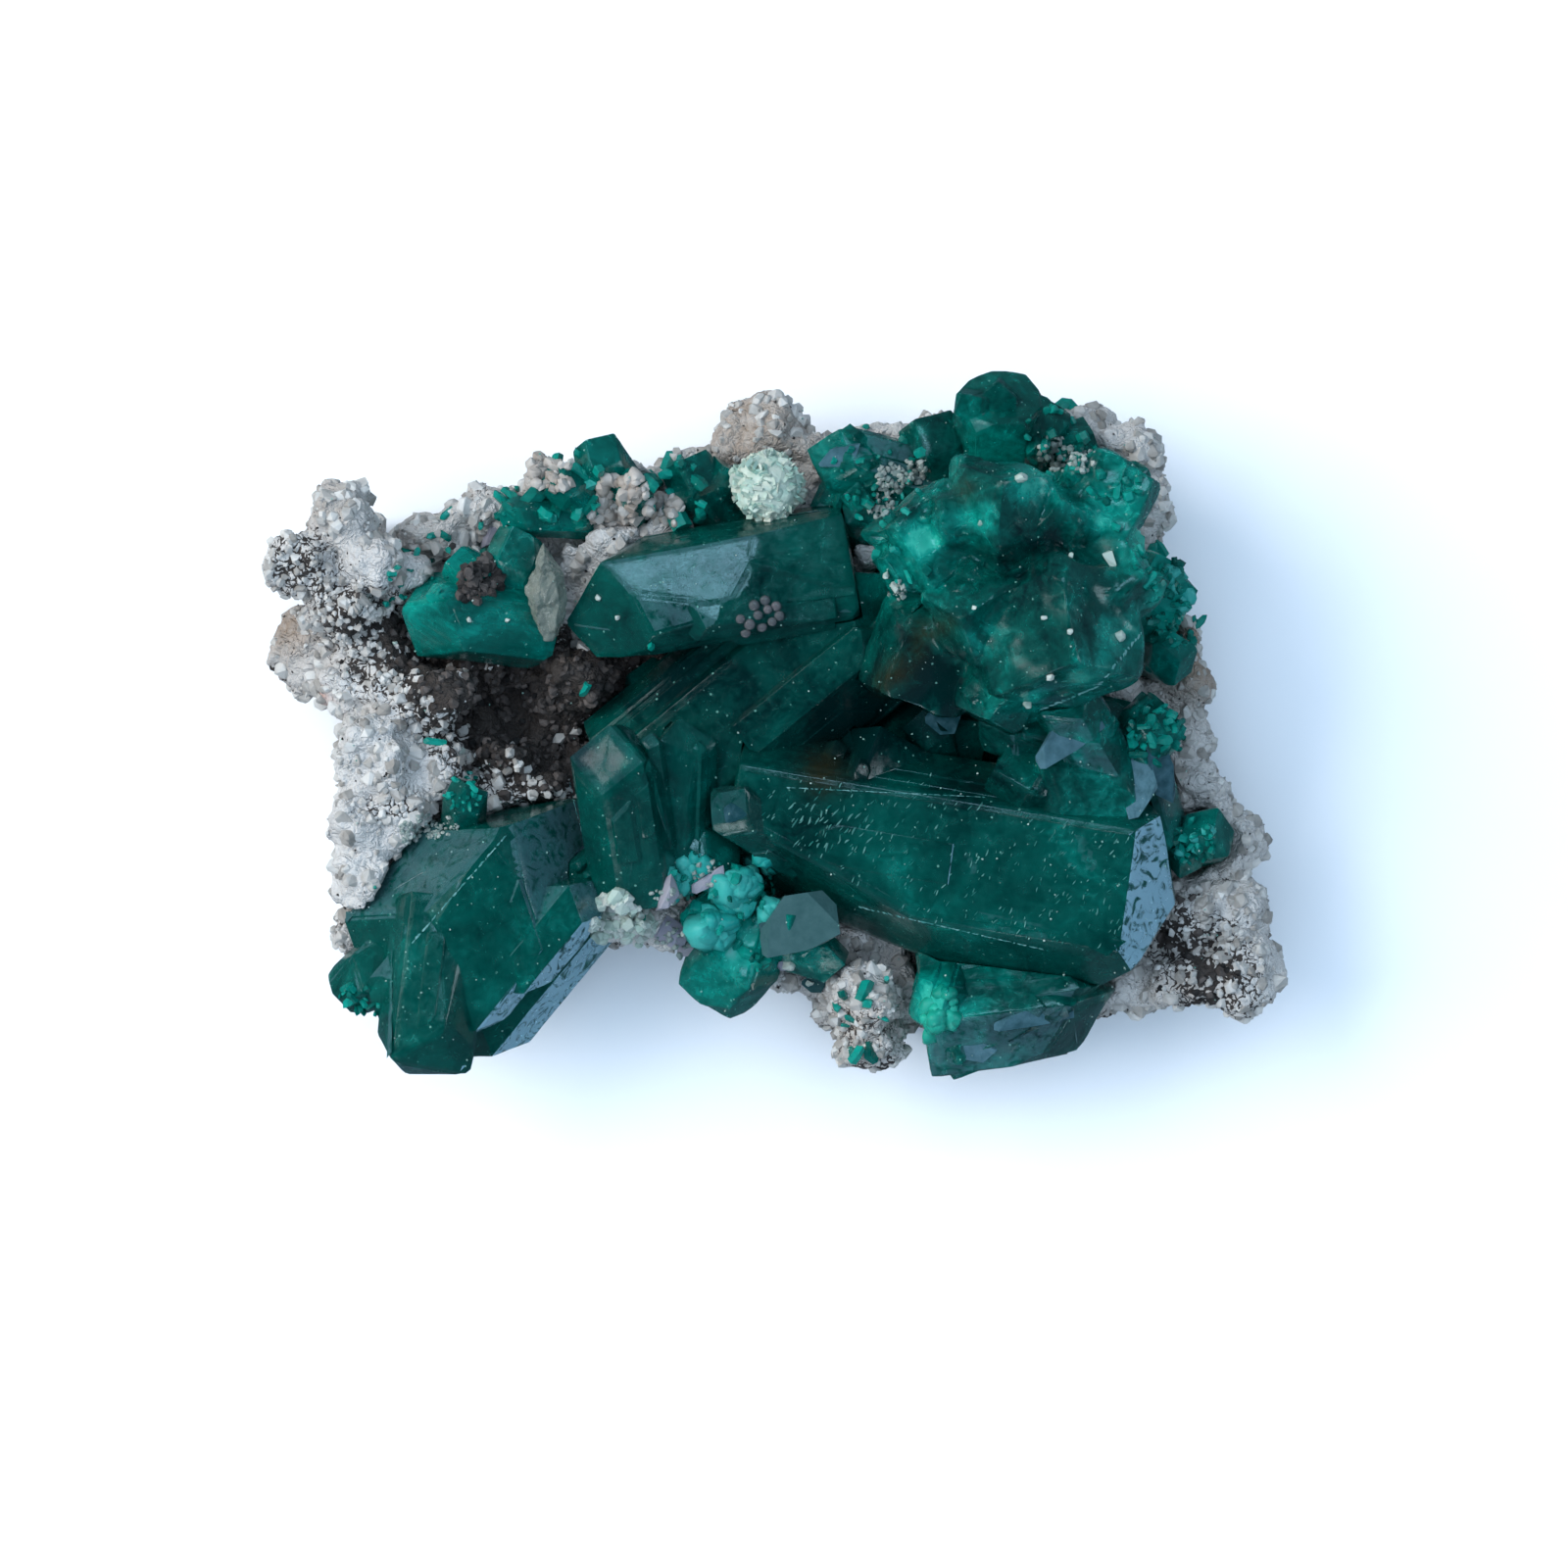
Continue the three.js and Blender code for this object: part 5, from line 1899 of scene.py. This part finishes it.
# Plain materials for the small pieces, as two colours, roughness and clearness. Copies differ in shade.
plainLooks = {
    "paleGrain": ((0.66, 0.64, 0.61, 1), (0.30, 0.275, 0.25, 1), 0.4, 0.25),
    "paleCrust": ((0.50, 0.54, 0.50, 1), (0.20, 0.29, 0.27, 1), 0.35, 0.4),
    # Blue-grey of the blades that paint reflections on crystal faces.
    "skyReflection": ((0.006, 0.040, 0.050, 1), (0.09, 0.20, 0.25, 1), 0.25, 0.15),
    "mintLump": ((0.42, 0.56, 0.48, 1), (0.60, 0.64, 0.60, 1), 0.4, 0.35),
    "mint": ((0.004, 0.26, 0.19, 1), (0.02, 0.46, 0.33, 1), 0.3, 0.35),
    # Pale teal of the painted edge highlights.
    "edgeHighlight": ((0.03, 0.20, 0.19, 1), (0.20, 0.42, 0.42, 1), 0.4, 0.3),
    "mauve": ((0.28, 0.28, 0.36, 1), (0.36, 0.35, 0.40, 1), 0.3, 0.35),
    "greyPlate": ((0.008, 0.05, 0.055, 1), (0.05, 0.12, 0.125, 1), 0.25, 0.3),
    "beigeGrain": ((0.36, 0.30, 0.255, 1), (0.58, 0.54, 0.50, 1), 0.4, 0.3),
    "darkSpeck": ((0.010, 0.009, 0.009, 1), (0.085, 0.070, 0.064, 1), 0.7, 0.0),
    "rosette": ((0.68, 0.72, 0.62, 1), (0.30, 0.50, 0.42, 1), 0.35, 0.3),
    "dust": ((0.10, 0.30, 0.25, 1), (0.40, 0.48, 0.44, 1), 0.6, 0.0),
    "marks": ((0.004, 0.12, 0.10, 1), (0.12, 0.30, 0.27, 1), 0.3, 0.2),
    "crust": ((0.01, 0.34, 0.30, 1), (0.06, 0.50, 0.44, 1), 0.3, 0.35),
    "bubbles": ((0.12, 0.14, 0.15, 1), (0.24, 0.22, 0.235, 1), 0.2, 0.6),
    "calcite": ((0.40, 0.44, 0.38, 1), (0.84, 0.80, 0.70, 1), 0.2, 0.68),
    "smallGreen": ((0.001, 0.11, 0.088, 1), (0.004, 0.33, 0.26, 1), 0.25, 0.35),
}


def plainMaterial(name):
    first, second, rough, clear = plainLooks[name]
    material, tree, shader = startMaterial(name)
    place = millimetres(tree)
    uneven = maths(tree, "SUBTRACT", noiseOf(tree, place, 3.0), 0.5)
    blend = maths(tree, "ADD", attributeOf(tree, "shade"), uneven, True)
    colour = mixColour(tree, blend, first, second)
    tree.links.new(colour, shader.inputs["Base Color"])
    shader.inputs["Roughness"].default_value = rough
    shader.inputs["Transmission Weight"].default_value = clear
    shader.inputs["IOR"].default_value = 1.6
    shader.inputs["Specular IOR Level"].default_value = 0.35
    addBump(tree, shader, noiseOf(tree, place, 9.0, 3), 0.04, 0.5)
    return material


# Which green each group has. The others are deep green.
groupLooks = {
    "raised_cluster": "middle",
    "plate_crystals": "middle",
    "top_crystals": "middle",
    "lower_right_crystals": "middle",
    "left_crystals": "bright",
    "back_crystals": "bright",
    "back_crystal_right": "middle",
    "bottom_crystals": "bright",
    "right_edge_crystals": "bright",
    "right_small_crystal": "bright",
}
crystalMaterials = {
    "deep": dioptaseMaterial("deepDioptase", deepGreen),
    "middle": dioptaseMaterial("middleDioptase", middleGreen),
    "bright": dioptaseMaterial("brightDioptase", brightGreen),
}
thinGroups = ["back_crystals", "bottom_crystals", "right_small_crystal", "left_crystals"]
for groupName, piece in crystalPieces.items():
    slot = "thin_dioptase" if groupName in thinGroups else "dioptase"
    finishPiece(piece, crystalMaterials[groupLooks.get(groupName, "deep")], slot, [groupName])
finishPiece(rockPiece, rockMaterial(), "host_rock", ["matrix"])
plain = {name: plainMaterial(name) for name in plainLooks}
finishPiece(rosettePiece, plain["rosette"], "rosette_crust", ["rosette"])
finishPiece(calcitePiece, plain["calcite"], "calcite", ["calcite_blade"])
finishPiece(paleGrains, plain["paleGrain"], "host_rock")
finishPiece(darkSpecks, plain["darkSpeck"], "host_rock")

# The material and the slot of each small piece.
smallFinishes = {
    "greenCrowdLook": ("smallGreen", "thin_dioptase"),
    "paleCrowdLook": ("paleCrust", "calcite"),
    "looseGrainsLook": ("mintLump", "calcite"),
    "bubblesLook": ("bubbles", "calcite"),
    "dustLook": ("dust", "calcite"),
    "marksLook": ("marks", "dioptase"),
    "crustLook": ("crust", "thin_dioptase"),
    "tinyCrystalsLook": ("smallGreen", "thin_dioptase"),
    "skyReflectionBladesLook": ("skyReflection", "dioptase"),
    "mintCrustLook": ("mint", "thin_dioptase"),
    "mintCrowdLook": ("mintLump", "calcite"),
    "beigeCrowdLook": ("beigeGrain", "host_rock"),
    "darkCrowdLook": ("darkSpeck", "host_rock"),
    "edgeHighlightsLook": ("edgeHighlight", "dioptase"),
    "mauveLook": ("mauve", "calcite"),
    "greyPlateLook": ("greyPlate", "calcite"),
}
for pieceName, (lookName, slot) in smallFinishes.items():
    finishPiece(smallPieces[pieceName], plain[lookName], slot)


# The pale surface that the specimen lies on, the sky, the lights and the camera.
stage = {
    "floorSize": 3.0,
    "floorColour": (0.88, 0.89, 0.92, 1),
    "floorRoughness": 0.9,
    "skySide": (0.06, 0.11, 0.15, 1),
    "skyTop": (0.004, 0.014, 0.018, 1),
    "skyBlend": (0.62, 0.86),  # heights on the sky between which one turns into the other
    "aim": (0, 0, 0.005),  # of the lights
}

# Soft lights leave no mirror image on the crystals. The others are seen in them and light nothing else.
softLights = {
    "key": dict(place=(-0.52, 0.16, 0.42), size=0.6, power=6.0, colour=(1.0, 0.98, 0.94)),
    "ceiling": dict(place=(0.0, 0.0, 1.0), size=2.0, power=25.0, colour=(0.62, 0.80, 1.0)),
}
mirroredLights = {
    "window": dict(place=(0.0, 0.30, 0.52), size=(0.22, 0.12), power=0.45, colour=(0.42, 0.78, 1.0)),
    "leftGleam": dict(place=(-0.41, 0.24, 0.37), size=0.14, power=0.16, colour=(0.9, 0.96, 1.0)),
    "nearGleam": dict(place=(-0.07, -0.53, 0.28), size=0.14, power=0.28, colour=(0.85, 0.95, 1.0)),
    "rightGleam": dict(place=(0.54, 0.10, 0.25), size=0.14, power=0.25, colour=(0.75, 0.9, 1.0)),
}

camera = {
    "photoSide": 1600,  # pixels
    "scale": 33.0,  # photo pixels in a millimetre, at the height that is in focus
    "middle": (790, 741),  # the pixel over the middle of the specimen's outline
    "focusHeight": 7.5,
    "distance": 400.0,
    "sensor": 36.0,
}


def buildFloor():
    shape = bmesh.new()
    bmesh.ops.create_grid(shape, x_segments=1, y_segments=1, size=stage["floorSize"] / 2)
    piece = fromShape(shape, "floor")
    material, tree, shader = startMaterial("paleFloor")
    shader.inputs["Base Color"].default_value = stage["floorColour"]
    shader.inputs["Roughness"].default_value = stage["floorRoughness"]
    piece.data.materials.append(material)
    piece.visible_glossy = False


def buildSky():
    world = bpy.data.worlds.new("studio")
    world.use_nodes = True
    bpy.context.scene.world = world
    tree = world.node_tree
    direction = addNode(tree, "ShaderNodeTexCoord").outputs["Generated"]
    height = addNode(tree, "ShaderNodeSeparateXYZ", {0: direction}).outputs["Z"]
    blend = mapRange(tree, height, *stage["skyBlend"])
    colour = mixColour(tree, blend, stage["skySide"], stage["skyTop"])
    background = tree.nodes["Background"]
    tree.links.new(colour, background.inputs["Color"])


def addLight(name, mirrored, place, size, power, colour):
    lamp = bpy.data.lights.new(name, "AREA")
    lamp.shape = "RECTANGLE"
    lamp.size, lamp.size_y = size if isinstance(size, tuple) else (size, size)
    lamp.energy = power
    lamp.color = colour
    piece = bpy.data.objects.new(name, lamp)
    bpy.context.scene.collection.objects.link(piece)
    piece.location = place
    heading = Vector(stage["aim"]) - Vector(place)
    piece.rotation_euler = heading.to_track_quat("-Z", "Y").to_euler()
    piece.visible_glossy = mirrored
    piece.visible_transmission = mirrored
    piece.visible_diffuse = not mirrored


def buildCamera():
    view = bpy.data.cameras.new("camera")
    piece = bpy.data.objects.new("camera", view)
    bpy.context.scene.collection.objects.link(piece)
    half = camera["photoSide"] / 2
    x = (half - camera["middle"][0]) / camera["scale"] + partShift.x
    y = (camera["middle"][1] - half) / camera["scale"] + partShift.y
    piece.location = (x * mm, y * mm, (camera["distance"] + camera["focusHeight"]) * mm)
    view.sensor_width = camera["sensor"]
    view.lens = camera["sensor"] * camera["distance"] / (camera["photoSide"] / camera["scale"])
    view.clip_start = 0.01
    view.clip_end = 20
    bpy.context.scene.camera = piece


buildFloor()
buildSky()
for lightName, light in softLights.items():
    addLight(lightName, False, **light)
for lightName, light in mirroredLights.items():
    addLight(lightName, True, **light)
buildCamera()
bpy.context.scene.view_settings.view_transform = "Standard"

bpy.context.view_layer.update()
